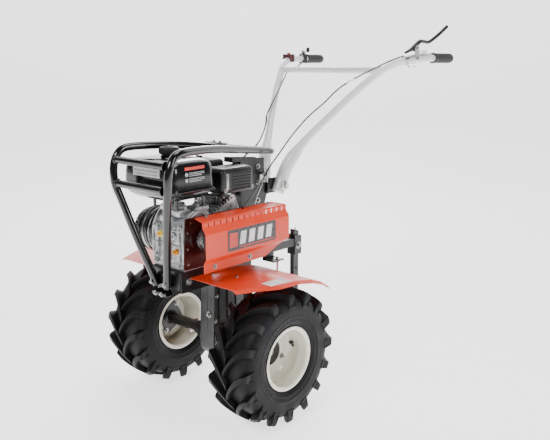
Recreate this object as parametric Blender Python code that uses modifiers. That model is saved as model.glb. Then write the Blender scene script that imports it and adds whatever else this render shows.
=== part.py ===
"""Walk-behind two-wheel tractor: petrol engine, belt drive, chain-case gearbox and a height-adjustable bar.

Metres, +Z up. The front is -Y and the machine's left is +X. Every piece is laid out from the wheel axle's
vertical plane (Y = 0) and the ground (Z = 0), and hangs from one empty that sets the part's own origin.
"""
from math import cos, pi, radians, sin

import bmesh
import bpy
from mathutils import Quaternion, Vector

# ---- driving dimensions (metres) ----
ORIGIN_SHIFT_Y = -0.3533      # axle plane's place, so that the origin lies under the middle of the machine
TYRE_RADIUS = 0.2415
TYRE_STEPS = 32
TRACK = 0.555
AXLE_Z = TYRE_RADIUS * cos(pi / TYRE_STEPS)
AXLE_HEX = 0.0125             # across the corners, halved
RIM_HALF = 0.0785
BEAD_RADIUS = 0.1015
RIM_FLANGE = 0.114
HUB_OUTER = 0.2695            # outboard face of the hub plate

BOX_HALF = 0.036              # gearbox half-width
INPUT_Y, INPUT_Z = 0.100, 0.630
CRANK_Y, CRANK_Z = -0.145, 0.650
BELT_X = 0.141
BELT_HALF = 0.0055

TUBE = 0.0135                 # bumper tube radius
HANDLE_TUBE = 0.0145
PIVOT_Y, PIVOT_Z = 0.304, 0.770
GRIP_X, GRIP_Z = 0.343, 1.248
GRIP_END = 1.048
GAP = 0.0003                  # between touching pieces

BED_TOP = 0.5437
COVER_FRONT, COVER_REAR = -0.232, 0.175

X_AXIS, Y_AXIS, Z_AXIS = Vector((1, 0, 0)), Vector((0, 1, 0)), Vector((0, 0, 1))
YZ_PLANE = (pi / 2, 0, pi / 2)    # an outline's x runs along Y and its y along Z
XZ_PLANE = (pi / 2, 0, 0)         # an outline's x runs along X and its y along Z
XY_PLANE = (0, 0, 0)

for old in list(bpy.data.objects):
    bpy.data.objects.remove(old, do_unlink=True)

PARTS = bpy.data.collections.new("two_wheel_tractor")
CUTTERS = bpy.data.collections.new("cutters")
bpy.context.scene.collection.children.link(PARTS)
bpy.context.scene.collection.children.link(CUTTERS)
ORIGIN = bpy.data.objects.new("axle_plane", None)
ORIGIN.location = (0, ORIGIN_SHIFT_Y, 0)
PARTS.objects.link(ORIGIN)


# ---- helpers ----
def material(name, colour, roughness, metallic=0.0):
    mat = bpy.data.materials.new(name)
    mat.use_nodes = True
    shader = mat.node_tree.nodes["Principled BSDF"]
    shader.inputs["Base Color"].default_value = (*colour, 1.0)
    shader.inputs["Roughness"].default_value = roughness
    shader.inputs["Metallic"].default_value = metallic
    return mat


RUBBER = ((0.018, 0.018, 0.020), 0.80, 0.0)
CREAM = ((0.72, 0.70, 0.62), 0.35, 0.0)
BLACK = ((0.012, 0.012, 0.013), 0.35, 0.0)
SATIN = ((0.020, 0.020, 0.022), 0.50, 0.0)
ORANGE = ((0.86, 0.085, 0.015), 0.35, 0.0)
WHITE = ((0.82, 0.82, 0.82), 0.30, 0.0)
ALUMINIUM = ((0.50, 0.50, 0.50), 0.45, 1.0)
ZINC = ((0.62, 0.62, 0.60), 0.35, 1.0)
STEEL = ((0.45, 0.45, 0.46), 0.35, 1.0)
PLASTIC = ((0.020, 0.020, 0.020), 0.60, 0.0)


def adopt(obj, name, look, origin=None):
    """Names an object as a piece, gives it its own material and hangs it from the machine's empty."""
    obj.name = name
    obj.data.name = name
    obj.data.materials.clear()
    obj.data.materials.append(material(name, *look))
    for holder in list(obj.users_collection):
        holder.objects.unlink(obj)
    PARTS.objects.link(obj)
    obj.parent = ORIGIN
    if origin is not None and obj.type == "MESH":
        move_origin(obj, origin)
    return obj


def move_origin(obj, point):
    """Puts a piece's origin on its joint's axis without moving the shape."""
    inverse = obj.matrix_basis.inverted()
    local = inverse @ Vector(point)
    for vertex in obj.data.vertices:
        vertex.co -= local
    obj.matrix_basis.translation = Vector(point)


def smooth(obj, angle=35):
    obj.data.shade_smooth()
    obj.data.set_sharp_from_angle(angle=radians(angle))
    return obj


def bevel(obj, width, segments=2, angle=40):
    mod = obj.modifiers.new("bevel", "BEVEL")
    mod.width = width
    mod.segments = segments
    mod.limit_method = "ANGLE"
    mod.angle_limit = radians(angle)
    return obj


def box(low, high):
    """An axis-aligned block, its scale applied."""
    low, high = Vector(low), Vector(high)
    bpy.ops.mesh.primitive_cube_add(size=1, location=(low + high) / 2)
    obj = bpy.context.object
    obj.scale = high - low
    bpy.ops.object.transform_apply(location=False, rotation=False, scale=True)
    return obj


def rod(start, end, radius, sides=24, roll=0.0):
    """A round bar between two points."""
    start, end = Vector(start), Vector(end)
    along = end - start
    bpy.ops.mesh.primitive_cylinder_add(
        vertices=sides, radius=radius, depth=along.length, location=(start + end) / 2
    )
    obj = bpy.context.object
    obj.rotation_mode = "QUATERNION"
    obj.rotation_quaternion = Z_AXIS.rotation_difference(along)
    if roll:
        for vertex in obj.data.vertices:
            x, y, z = vertex.co
            vertex.co = (x * cos(roll) - y * sin(roll), x * sin(roll) + y * cos(roll), z)
    return smooth(obj)


def turned(profile, centre, axis, steps=32, closed=False, roll=0.0):
    """A profile of (radius, height) points, turned about an axis; it runs down its outer side."""
    mesh = bpy.data.meshes.new("turned")
    count = len(profile)
    edges = [(n, n + 1) for n in range(count - 1)]
    if closed:
        edges.append((count - 1, 0))
    mesh.from_pydata([(r, 0, h) for r, h in profile], edges, [])
    obj = bpy.data.objects.new("turned", mesh)
    bpy.context.scene.collection.objects.link(obj)
    mod = obj.modifiers.new("turn", "SCREW")
    mod.axis = "Z"
    mod.steps = steps
    mod.render_steps = steps
    mod.use_merge_vertices = True
    mod.merge_threshold = 0.0001
    obj.location = centre
    obj.rotation_mode = "QUATERNION"
    obj.rotation_quaternion = Z_AXIS.rotation_difference(Vector(axis))
    if roll:
        spin = Vector(axis).normalized()
        obj.rotation_quaternion = Quaternion(spin, roll) @ obj.rotation_quaternion
    return smooth(settle(obj))


def settle(obj):
    """Turns an object and its modifiers into one plain welded mesh in place."""
    bpy.context.view_layer.update()
    graph = bpy.context.evaluated_depsgraph_get()
    mesh = bpy.data.meshes.new_from_object(obj.evaluated_get(graph))
    weld(mesh)
    plain = bpy.data.objects.new(obj.name, mesh)
    plain.matrix_world = obj.matrix_world
    bpy.context.scene.collection.objects.link(plain)
    bpy.data.objects.remove(obj, do_unlink=True)
    return plain


def weld(mesh):
    work = bmesh.new()
    work.from_mesh(mesh)
    bmesh.ops.remove_doubles(work, verts=work.verts, dist=0.00002)
    bmesh.ops.recalc_face_normals(work, faces=work.faces)
    work.to_mesh(mesh)
    work.free()


def spline(curve, points, closed):
    line = curve.splines.new("POLY")
    line.points.add(len(points) - 1)
    for place, point in zip(line.points, points):
        place.co = (*point, 0.0, 1.0) if len(point) == 2 else (*point, 1.0)
    line.use_cyclic_u = closed
    return line


def plate(outlines, start, thickness, plane):
    """Flat outlines (the first is the edge, the rest are holes), from start on across the plane."""
    curve = bpy.data.curves.new("plate", "CURVE")
    curve.dimensions = "2D"
    curve.fill_mode = "BOTH"
    curve.extrude = thickness / 2
    curve.render_resolution_u = 0
    for outline in outlines:
        spline(curve, outline, True)
    obj = bpy.data.objects.new("plate", curve)
    bpy.context.scene.collection.objects.link(obj)
    obj.rotation_euler = plane
    normal = obj.rotation_euler.to_matrix() @ Z_AXIS
    obj.location = Vector([abs(part) for part in normal]) * (start + thickness / 2)
    return settle(obj)


def tube(points, radius, sides_level=4, radii=None):
    """A bent round bar or tube along the points, with closed ends."""
    curve = bpy.data.curves.new("tube", "CURVE")
    curve.dimensions = "3D"
    curve.bevel_depth = radius
    curve.bevel_resolution = sides_level
    curve.use_fill_caps = True
    curve.render_resolution_u = 0
    line = spline(curve, points, False)
    for n, factor in enumerate(radii or []):
        line.points[n].radius = factor
    obj = bpy.data.objects.new("tube", curve)
    bpy.context.scene.collection.objects.link(obj)
    return smooth(settle(obj), 50)


def boolean(obj, tool, operation):
    """Cuts with, or joins on, another solid, which becomes a hidden cutter."""
    tool.name = "tool_" + operation.lower()
    for holder in list(tool.users_collection):
        holder.objects.unlink(tool)
    CUTTERS.objects.link(tool)
    tool.parent = ORIGIN
    tool.hide_render = True
    tool.display_type = "WIRE"
    mod = obj.modifiers.new(operation.lower(), "BOOLEAN")
    mod.operation = operation
    mod.object = tool
    mod.solver = "EXACT"
    return obj


def cut(obj, *tools):
    for tool in tools:
        boolean(obj, tool, "DIFFERENCE")
    return obj


def join(obj, *tools):
    for tool in tools:
        boolean(obj, tool, "UNION")
    return obj


def rounded(corners, steps=4):
    """A closed outline from (x, y, radius) corners, each corner an arc."""
    outline = []
    count = len(corners)
    for n, (x, y, r) in enumerate(corners):
        here = Vector((x, y))
        before = Vector(corners[n - 1][:2]) - here
        after = Vector(corners[(n + 1) % count][:2]) - here
        if r == 0:
            outline.append((x, y))
            continue
        half = before.angle(after) / 2
        reach = r / abs(sin(half) / cos(half))
        start = here + before.normalized() * reach
        end = here + after.normalized() * reach
        centre = here + (before.normalized() + after.normalized()).normalized() * (r / sin(half))
        sweep = (start - centre).angle_signed(end - centre)
        for step in range(steps + 1):
            turn = -sweep * step / steps
            arm = start - centre
            outline.append((
                centre.x + arm.x * cos(turn) - arm.y * sin(turn),
                centre.y + arm.x * sin(turn) + arm.y * cos(turn),
            ))
    return outline


def circle(x, y, radius, steps=20):
    return [(x + radius * cos(2 * pi * n / steps), y + radius * sin(2 * pi * n / steps)) for n in range(steps)]


def smooth_path(route, per_span=4):
    """Points on a smooth curve through the route's own points (Catmull-Rom)."""
    knots = [Vector(point) for point in route]
    knots = [2 * knots[0] - knots[1], *knots, 2 * knots[-1] - knots[-2]]
    path = []
    for n in range(1, len(knots) - 2):
        a, b, c, d = knots[n - 1:n + 3]
        for step in range(per_span):
            t = step / per_span
            path.append(0.5 * (
                2 * b + (c - a) * t + (2 * a - 5 * b + 4 * c - d) * t * t + (3 * b - a - 3 * c + d) * t ** 3
            ))
    path.append(knots[-2])
    return [tuple(point) for point in path]


def mirrored(route):
    return [(-x, y, z) for x, y, z in route]


# ---- wheels and axle ----
def tyre_profile():
    """The carcass with its lugs' outside, and the open inside that the rim closes."""
    bead = BEAD_RADIUS + 0.001
    outer = [(TYRE_RADIUS, 0.054), (0.2300, 0.0790), (0.2000, 0.0885), (0.1500, 0.0885), (0.1160, 0.0748),
             (bead, 0.0748)]
    inner = [(bead, 0.0600), (0.1250, 0.0690), (0.1650, 0.0780), (0.2150, 0.0640)]
    down = [(r, -h) for r, h in outer]
    up = [(r, h) for r, h in inner]
    return outer[::-1] + down + [(r, -h) for r, h in inner] + up[::-1]


def rim_profile():
    """Steel rim: two flanges, the barrel and a dished disc near its middle."""
    face, lip, inside = RIM_HALF, RIM_HALF - 0.003, BEAD_RADIUS - 0.003
    return [(inside, face), (RIM_FLANGE, face), (RIM_FLANGE, lip), (BEAD_RADIUS, lip), (BEAD_RADIUS, -lip),
            (RIM_FLANGE, -lip), (RIM_FLANGE, -face), (inside, -face), (inside, 0.0113), (0.0880, -0.0012),
            (0.0740, -0.0077), (0.0450, -0.0077), (0.0450, -0.0037), (0.0740, -0.0037), (0.0865, 0.0023),
            (0.0960, 0.0143), (inside, 0.0243)]


def wheel(side, sign):
    """Tyre, rim and hub of one side; the rim's bowl opens outboard."""
    centre = (sign * TRACK / 2, 0, AXLE_Z)
    out = (sign, 0, 0)
    half_step = pi / TYRE_STEPS
    tyre = turned(tyre_profile(), centre, out, TYRE_STEPS, closed=True, roll=half_step)
    adopt(tyre, side + "_tyre", RUBBER)
    adopt(turned(rim_profile(), centre, out, 24, closed=True), side + "_rim", CREAM)
    sleeve = rod((sign * 0.0800, 0, AXLE_Z), (sign * (HUB_OUTER - 0.003), 0, AXLE_Z), 0.021, 24)
    square = rod((sign * (HUB_OUTER - 0.006), 0, AXLE_Z), (sign * HUB_OUTER, 0, AXLE_Z), 0.068, 4, radians(17))
    bore = rod((sign * 0.06, 0, AXLE_Z), (sign * 0.30, 0, AXLE_Z), AXLE_HEX + 0.0005, 24)
    adopt(cut(join(sleeve, square), bore), side + "_hub", BLACK)


def axle():
    adopt(rod((-0.266, 0, AXLE_Z), (0.266, 0, AXLE_Z), AXLE_HEX, 6), "axle", STEEL)


# ---- gearbox and belt drive ----
def gearbox():
    outline = rounded([(-0.056, 0.165, 0.050), (0.075, 0.160, 0.065), (0.150, 0.450, 0.050),
                       (0.155, 0.686, 0.050), (0.045, 0.686, 0.050), (0.035, 0.500, 0.015),
                       (-0.040, 0.500, 0.020)])
    case = bevel(plate([outline], -BOX_HALF, 2 * BOX_HALF, YZ_PLANE), 0.006, 2)
    boss = rod((-0.078, 0, AXLE_Z), (0.078, 0, AXLE_Z), 0.034, 24)
    axle_bore = rod((-0.1, 0, AXLE_Z), (0.1, 0, AXLE_Z), AXLE_HEX + 0.0008, 24)
    shaft_bore = rod((-0.03, INPUT_Y, INPUT_Z), (0.1, INPUT_Y, INPUT_Z), 0.0104, 24)
    adopt(smooth(cut(join(case, boss), axle_bore, shaft_bore)), "gearbox", SATIN)


def v_groove(centre, depth, half, outer):
    """Profile points down one belt groove, from its upper edge to its lower edge."""
    return [(outer, centre + half), (outer - depth, centre + half), (outer - depth, centre - half),
            (outer, centre - half)]


def engine_pulley():
    front, back = 0.160, 0.104
    groove = BELT_HALF + 0.001
    profile = [(0.0099, front), (0.040, front), *v_groove(BELT_X, 0.010, groove, 0.040),
               *v_groove(0.119, 0.010, groove, 0.040), (0.040, back), (0.0099, back)]
    pulley = turned(profile, (0, CRANK_Y, CRANK_Z), X_AXIS, 24, closed=True)
    adopt(pulley, "engine_pulley", STEEL)


def input_pulley():
    groove = BELT_HALF + 0.001
    profile = [(0, 0.158), (0.018, 0.158), (0.018, 0.150), (0.055, 0.150),
               *v_groove(BELT_X, 0.010, groove, 0.055), (0.055, 0.132), (0.018, 0.132), (0.018, 0.096),
               (0.010, 0.096), (0.010, -0.020), (0, -0.020)]
    adopt(turned(profile, (0, INPUT_Y, INPUT_Z), X_AXIS, 24), "input_pulley", STEEL)


def belt_loop(radius_crank, radius_input):
    """A loop round both pulleys: two arcs and the two straight runs that touch them."""
    along = Vector((INPUT_Y - CRANK_Y, INPUT_Z - CRANK_Z))
    slope = along.angle_signed(Vector((1, 0)))
    lean = (radius_input - radius_crank) / along.length
    top = pi / 2 + lean
    loop = []
    for step in range(13):
        angle = slope + top + (2 * pi - 2 * top) * step / 12
        loop.append((CRANK_Y + radius_crank * cos(angle), CRANK_Z + radius_crank * sin(angle)))
    for step in range(17):
        angle = slope - top + 2 * top * step / 16
        loop.append((INPUT_Y + radius_input * cos(angle), INPUT_Z + radius_input * sin(angle)))
    return loop


def drive_belt():
    outer = belt_loop(0.0385, 0.0535)
    inner = belt_loop(0.0310, 0.0460)
    belt = plate([outer, inner], BELT_X - BELT_HALF, 2 * BELT_HALF, YZ_PLANE)
    adopt(smooth(belt), "drive_belt", RUBBER)


IDLER_PIVOT = (0.1195, -0.085, 0.625)
IDLER_CENTRE = (BELT_X, -0.020, 0.648)


def idler():
    """A bar that carries the tension roller inside the belt loop, and the roller on its stub."""
    x = IDLER_PIVOT[0]
    bar = plate([rounded([(-0.096, 0.616, 0.008), (-0.074, 0.611, 0.008), (-0.006, 0.636, 0.010),
                          (-0.012, 0.661, 0.010), (-0.092, 0.636, 0.008)])], x, 0.004, YZ_PLANE)
    stub = rod((x + 0.002, *IDLER_CENTRE[1:]), (BELT_X + 0.008, *IDLER_CENTRE[1:]), 0.005, 16)
    hole = rod((x - 0.01, *IDLER_PIVOT[1:]), (x + 0.02, *IDLER_PIVOT[1:]), 0.0046, 16)
    adopt(cut(join(bar, stub), hole), "idler_arm", ZINC, IDLER_PIVOT)
    profile = [(0.0052, 0.0065), (0.014, 0.0065), (0.014, -0.0065), (0.0052, -0.0065)]
    adopt(turned(profile, IDLER_CENTRE, X_AXIS, 24, closed=True), "idler_roller", BLACK)


def belt_guard():
    """Back plate behind the pulleys, with the idler's pivot stud."""
    outline = rounded([(-0.232, 0.552, 0.010), (0.060, 0.552, 0.010), (0.172, 0.600, 0.010),
                       (0.172, 0.7275, 0.004), (-0.222, 0.7275, 0.004)])
    holes = [circle(CRANK_Y, CRANK_Z, 0.022), circle(INPUT_Y, INPUT_Z, 0.022)]
    guard = plate([outline, *holes], 0.0885, 0.002, YZ_PLANE)
    stud = rod((0.0895, *IDLER_PIVOT[1:]), (0.1245, *IDLER_PIVOT[1:]), 0.0042, 16)
    collar = rod((0.0895, *IDLER_PIVOT[1:]), (0.1190, *IDLER_PIVOT[1:]), 0.008, 16)
    adopt(join(guard, stud, collar), "belt_guard", BLACK)


COVER_SECTION = [(0.116, 0.7315), (0.186, 0.7315), (0.186, 0.7125), (0.201, 0.6950), (0.201, 0.6080),
                 (0.190, 0.5950), (0.190, 0.5620)]


def belt_cover():
    """Bent sheet over the pulleys, open at both ends, with a row of slots under its top edge."""
    mesh = bpy.data.meshes.new("belt_cover")
    front = [(x, COVER_FRONT, z) for x, z in COVER_SECTION]
    rear = [(x, COVER_REAR, z) for x, z in COVER_SECTION]
    count = len(COVER_SECTION)
    faces = [(n, n + 1, count + n + 1, count + n) for n in range(count - 1)]
    mesh.from_pydata(front + rear, [], faces)
    cover = bpy.data.objects.new("belt_cover", mesh)
    bpy.context.scene.collection.objects.link(cover)
    sheet = cover.modifiers.new("sheet", "SOLIDIFY")
    sheet.thickness = 0.002
    sheet.offset = 0
    sheet.use_even_offset = True
    cover = settle(cover)
    slot = box((0.176, -0.2090, 0.7155), (0.196, -0.2040, 0.7275))
    row = slot.modifiers.new("row", "ARRAY")
    row.count = 14
    row.use_relative_offset = False
    row.use_constant_offset = True
    row.constant_offset_displace = (0, 0.0276, 0)
    slot = settle(slot)
    corner = plate([[(0.030, 0.550), (COVER_REAR + 0.02, 0.550), (COVER_REAR + 0.02, 0.612)]],
                   0.150, 0.070, YZ_PLANE)
    nose = plate([[(0.100, -0.240), (0.183, -0.240), (0.183, -0.231), (0.100, -0.197)]], 0.728, 0.010, XY_PLANE)
    cable_hole = rod((0.127, 0.012, 0.70), (0.127, 0.012, 0.76), 0.006, 16)
    adopt(cut(cover, slot, corner, nose, cable_hole), "belt_cover", ORANGE)


# ---- frame ----
def engine_bed():
    """Inverted channel that carries the engine in front of the gearbox."""
    half, sheet = 0.078, 0.005
    section = [(-half, 0.470), (-half + sheet, 0.470), (-half + sheet, BED_TOP - sheet),
               (half - sheet, BED_TOP - sheet), (half - sheet, 0.470), (half, 0.470), (half, BED_TOP),
               (-half, BED_TOP)]
    bed = plate([section], -0.234, 0.246, XZ_PLANE)
    foot = box((-half + 0.004, -0.238, 0.480), (half - 0.004, -0.230, BED_TOP - 0.001))
    adopt(join(bed, foot), "engine_bed", BLACK)


def bumper_route():
    """Left bumper tube: from the low front joint, up past the crossbars, back over the tank."""
    return [(0.028, -0.2535, 0.486), (0.040, -0.262, 0.530), (0.078, -0.290, 0.650), (0.118, -0.317, 0.780),
            (0.136, -0.328, 0.838), (0.1405, -0.3265, 0.890), (0.1405, -0.315, 0.924), (0.138, -0.296, 0.945),
            (0.134, -0.265, 0.953), (0.120, -0.195, 0.953), (0.098, -0.085, 0.947), (0.072, 0.045, 0.932),
            (0.048, 0.165, 0.917), (0.039, 0.220, 0.909), (0.035, 0.250, 0.905), (0.027, 0.272, 0.902),
            (0.0150, 0.284, 0.900), (0.0006, 0.284, 0.900)]


def bumper():
    left = bumper_route()
    adopt(tube(left, TUBE), "left_bumper_tube", BLACK)
    adopt(tube(mirrored(left), TUBE), "right_bumper_tube", BLACK)
    adopt(tube([(-0.1262, -0.3235, 0.916), (0.1262, -0.3235, 0.916)], 0.0125), "bumper_upper_bar", BLACK)
    adopt(tube([(-0.1185, -0.3285, 0.838), (0.1185, -0.3285, 0.838)], 0.0125), "bumper_lower_bar", BLACK)
    foot = bevel(box((-0.036, -0.2700, 0.4560), (0.036, -0.2385, 0.4705)), 0.002, 1)
    web = box((-0.030, -0.2480, 0.4640), (0.030, -0.2384, 0.5300))
    adopt(cut(join(foot, web), tube(left, TUBE + GAP), tube(mirrored(left), TUBE + GAP)), "bumper_foot", BLACK)


def fender(side, sign):
    """Sheet over one wheel: flat at the front, curling down to the rear, corners cut off."""
    rows = [(-0.200, 0.300, 0.520), (-0.130, 0.335, 0.5205), (-0.060, 0.370, 0.519), (0.030, 0.3700, 0.5140),
            (0.110, 0.370, 0.499), (0.165, 0.370, 0.480), (0.205, 0.370, 0.455)]
    mesh = bpy.data.meshes.new("fender")
    verts = []
    for y, edge, z in rows:
        verts += [(sign * 0.082, y, z), (sign * (edge - 0.012), y, z), (sign * edge, y, z - 0.010)]
    faces = []
    for row in range(len(rows) - 1):
        for column in range(2):
            corner = 3 * row + column
            face = (corner, corner + 1, corner + 4, corner + 3)
            faces.append(face if sign > 0 else face[::-1])
    mesh.from_pydata(verts, [], faces)
    sheet = bpy.data.objects.new("fender", mesh)
    bpy.context.scene.collection.objects.link(sheet)
    mod = sheet.modifiers.new("sheet", "SOLIDIFY")
    mod.thickness = 0.002
    mod.offset = -1
    adopt(smooth(settle(sheet), 25), side + "_fender", ORANGE)


COLUMN_OUTLINE = [(0.070, 0.8960), (0.238, 0.8800), (0.240, 0.8380), (0.252, 0.7900), (0.252, 0.7300),
                  (0.225, 0.6600), (0.202, 0.5320), (0.160, 0.5320), (0.160, 0.6900),
                  (0.112, 0.6900), (0.112, 0.8780), (0.070, 0.8780)]


def handle_column():
    """Sheet channel that stands on the gearbox and carries the handlebar's pivot, open at the rear."""
    column = plate([COLUMN_OUTLINE], -0.022, 0.044, YZ_PLANE)
    hollow = plate([[(0.074, 0.91), (0.30, 0.91), (0.30, 0.50), (0.164, 0.50), (0.164, 0.694), (0.116, 0.694),
                     (0.116, 0.8815), (0.074, 0.8815)]], -0.0185, 0.037, YZ_PLANE)
    seat = box((-0.0186, 0.114, 0.873), (0.0186, 0.236, 0.8765))
    saddle = cut(seat, tube(bumper_route(), TUBE + GAP))
    adopt(join(cut(column, hollow), settle(saddle)), "handle_column", BLACK)


def pivot_bracket():
    """Cheeks behind the column, through which the handlebar's pivot bolt passes."""
    outline = rounded([(0.2524, 0.735, 0.002), (0.304, 0.748, 0.012), (0.326, 0.770, 0.016),
                       (0.304, 0.794, 0.012), (0.2524, 0.800, 0.002)])
    cheeks = plate([outline], -0.018, 0.036, YZ_PLANE)
    hole = rod((-0.05, PIVOT_Y, PIVOT_Z), (0.05, PIVOT_Y, PIVOT_Z), 0.0064, 20)
    adopt(cut(cheeks, hole), "pivot_bracket", BLACK)
    shank = rod((-0.076, PIVOT_Y, PIVOT_Z), (0.076, PIVOT_Y, PIVOT_Z), 0.0060, 20)
    head = rod((0.0752, PIVOT_Y, PIVOT_Z), (0.084, PIVOT_Y, PIVOT_Z), 0.0110, 6)
    nut = rod((-0.0752, PIVOT_Y, PIVOT_Z), (-0.086, PIVOT_Y, PIVOT_Z), 0.0110, 6)
    adopt(join(shank, head, nut), "pivot_bolt", ZINC)


def drawbar():
    """Rear hitch: a bar from the gearbox and a socket for the coulter."""
    bar = box((-0.018, 0.1560, 0.498), (0.018, 0.428, 0.530))
    gusset = box((-0.018, 0.1545, 0.440), (0.018, 0.170, 0.5155))
    socket = plate([[(0.425, 0.460), (0.467, 0.460), (0.467, 0.537), (0.425, 0.545)]], -0.021, 0.042, YZ_PLANE)
    well = box((-0.0108, 0.4302, 0.40), (0.0108, 0.4618, 0.60))
    adopt(cut(join(bar, gusset, socket), well), "drawbar", BLACK)


def coulter():
    """Flat drag bar that stands on the ground behind the wheels, with a row of depth holes."""
    outline = [(0.4310, 0.0), (0.4610, 0.0), (0.4610, 0.556), (0.4310, 0.566)]
    blade = plate([outline], -0.0100, 0.0200, YZ_PLANE)
    holes = [rod((-0.05, 0.446, z), (0.05, 0.446, z), 0.005, 12) for z in (0.280, 0.320, 0.360, 0.400)]
    adopt(bevel(cut(blade, *holes), 0.0015, 1), "coulter", BLACK)


# ---- engine ----
def crankcase():
    outline = rounded([(-0.223, 0.560, 0.012), (-0.223, 0.700, 0.040), (-0.180, 0.742, 0.030),
                       (-0.115, 0.742, 0.020), (-0.082, 0.690, 0.020), (-0.082, 0.560, 0.012)])
    block = bevel(plate([outline], -0.075, 0.159, YZ_PLANE), 0.005, 2)
    feet = box((-0.077, -0.220, BED_TOP + GAP), (0.078, -0.088, 0.5640))
    bearing = rod((0.080, CRANK_Y, CRANK_Z), (0.088, CRANK_Y, CRANK_Z), 0.030, 24)
    bore = rod((-0.1, CRANK_Y, CRANK_Z), (0.1, CRANK_Y, CRANK_Z), 0.0130, 24)
    chamber = rod((-0.052, CRANK_Y, CRANK_Z), (0.066, CRANK_Y, CRANK_Z), 0.053, 20)
    adopt(smooth(cut(join(block, feet, bearing), chamber, bore)), "crankcase", ALUMINIUM)


CYLINDER_LEAN = radians(25)
CYLINDER_Y, CYLINDER_Z = -0.077, 0.676
BARREL, FIN = 0.032, 0.043


def leaned(outline):
    """An outline along the cylinder's axis, turned and moved to where the cylinder leans."""
    c, s = cos(CYLINDER_LEAN), sin(CYLINDER_LEAN)
    return [(CYLINDER_Y + x * c - y * s, CYLINDER_Z + x * s + y * c) for x, y in outline]


def cylinder():
    """Finned barrel and head, leaning back from the crankcase; the fins stand across its axis."""
    comb = []
    fins, pitch, length = 9, 0.0145, 0.135
    for n in range(fins):
        start = n * pitch
        comb += [(start, FIN), (start + 0.005, FIN), (start + 0.005, BARREL), (start + pitch, BARREL)]
    comb.append((length, BARREL))
    comb.append((length, -BARREL))
    for n in reversed(range(fins)):
        start = n * pitch
        comb += [(start + pitch, -BARREL), (start + 0.005, -BARREL), (start + 0.005, -FIN), (start, -FIN)]
    clean = [point for n, point in enumerate(comb) if point != comb[n - 1]]
    barrel = plate([leaned(clean)], -0.062, 0.124, YZ_PLANE)
    front = box((-0.1, -0.20, 0.55), (0.1, -0.0815, 0.80))
    adopt(cut(barrel, front), "cylinder", ALUMINIUM)
    cap = rounded([(0.137, -0.034, 0.004), (0.158, -0.034, 0.012), (0.158, 0.034, 0.012), (0.137, 0.034, 0.004)])
    adopt(plate([leaned(cap)], -0.045, 0.090, YZ_PLANE), "valve_cover", STEEL)


def crankshaft():
    profile = [(0, 0.166), (0.0095, 0.166), (0.0095, 0.100), (0.0125, 0.100), (0.0125, -0.096),
               (0.0095, -0.096), (0.0095, -0.155), (0, -0.155)]
    adopt(turned(profile, (0, CRANK_Y, CRANK_Z), X_AXIS, 24), "crankshaft", STEEL)
    fan = [(0.0099, -0.112), (0.030, -0.112), (0.030, -0.118), (0.070, -0.118), (0.070, -0.150),
           (0.0099, -0.150)]
    adopt(turned(fan, (0, CRANK_Y, CRANK_Z), X_AXIS, 24, closed=True), "flywheel", ALUMINIUM)


def blower():
    shroud = [(0.060, -0.165), (0.076, -0.165), (0.082, -0.159), (0.082, -0.0755)][::-1]
    inner = [(0.060, -0.163), (0.0755, -0.163), (0.080, -0.1585), (0.080, -0.0755)]
    housing = turned(shroud + inner, (0, CRANK_Y, CRANK_Z), X_AXIS, 28, closed=True)
    adopt(housing, "blower_housing", BLACK)
    outside = [(0.070, -0.1655), (0.070, -0.190), (0.064, -0.200), (0.030, -0.203), (0, -0.203)]
    inside = [(0, -0.201), (0.030, -0.201), (0.063, -0.198), (0.068, -0.1895), (0.068, -0.1655)]
    adopt(turned(outside + inside, (0, CRANK_Y, CRANK_Z), X_AXIS, 28, closed=True), "recoil_housing", BLACK)


STARTER_EXIT = (-0.182, -0.0735, 0.668)
STARTER_DIRECTION = Vector((0, 0.970, 0.243)).normalized()


def starter_handle():
    """T grip on a short stub of rope, resting against the recoil housing."""
    start = Vector(STARTER_EXIT)
    stem_end = start + STARTER_DIRECTION * 0.018
    centre = start + STARTER_DIRECTION * 0.026
    stem = rod(start, stem_end + STARTER_DIRECTION * 0.004, 0.006, 16)
    grip = rod(centre - X_AXIS * 0.036, centre + X_AXIS * 0.036, 0.010, 20)
    adopt(join(bevel(grip, 0.003, 2), stem), "starter_handle", BLACK)


TANK_X, TANK_Y = -0.038, -0.175
CAP_PLACE = (-0.050, -0.162, 0.9183)


def fuel_tank():
    """Pressed tank: a tapered lower half, the seam flange and a crowned upper half."""
    levels = [(0.7800, 0.072, 0.047, 0.030), (0.7860, 0.104, 0.079, 0.034), (0.8130, 0.129, 0.104, 0.032),
              (0.8150, 0.134, 0.109, 0.032), (0.8190, 0.134, 0.109, 0.032), (0.8210, 0.129, 0.104, 0.032),
              (0.8900, 0.126, 0.101, 0.032), (0.9080, 0.120, 0.095, 0.030), (0.9180, 0.104, 0.079, 0.028)]
    inside = [(0.7870, 0.098, 0.073, 0.030), (0.8130, 0.125, 0.100, 0.030), (0.8880, 0.123, 0.098, 0.030),
              (0.9150, 0.100, 0.075, 0.026)]
    tank = smooth(stacked(levels), 40)
    neck = rod((CAP_PLACE[0], CAP_PLACE[1], 0.90), (CAP_PLACE[0], CAP_PLACE[1], 0.93), 0.022, 20)
    adopt(cut(tank, stacked(inside), neck), "fuel_tank", BLACK)


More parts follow.
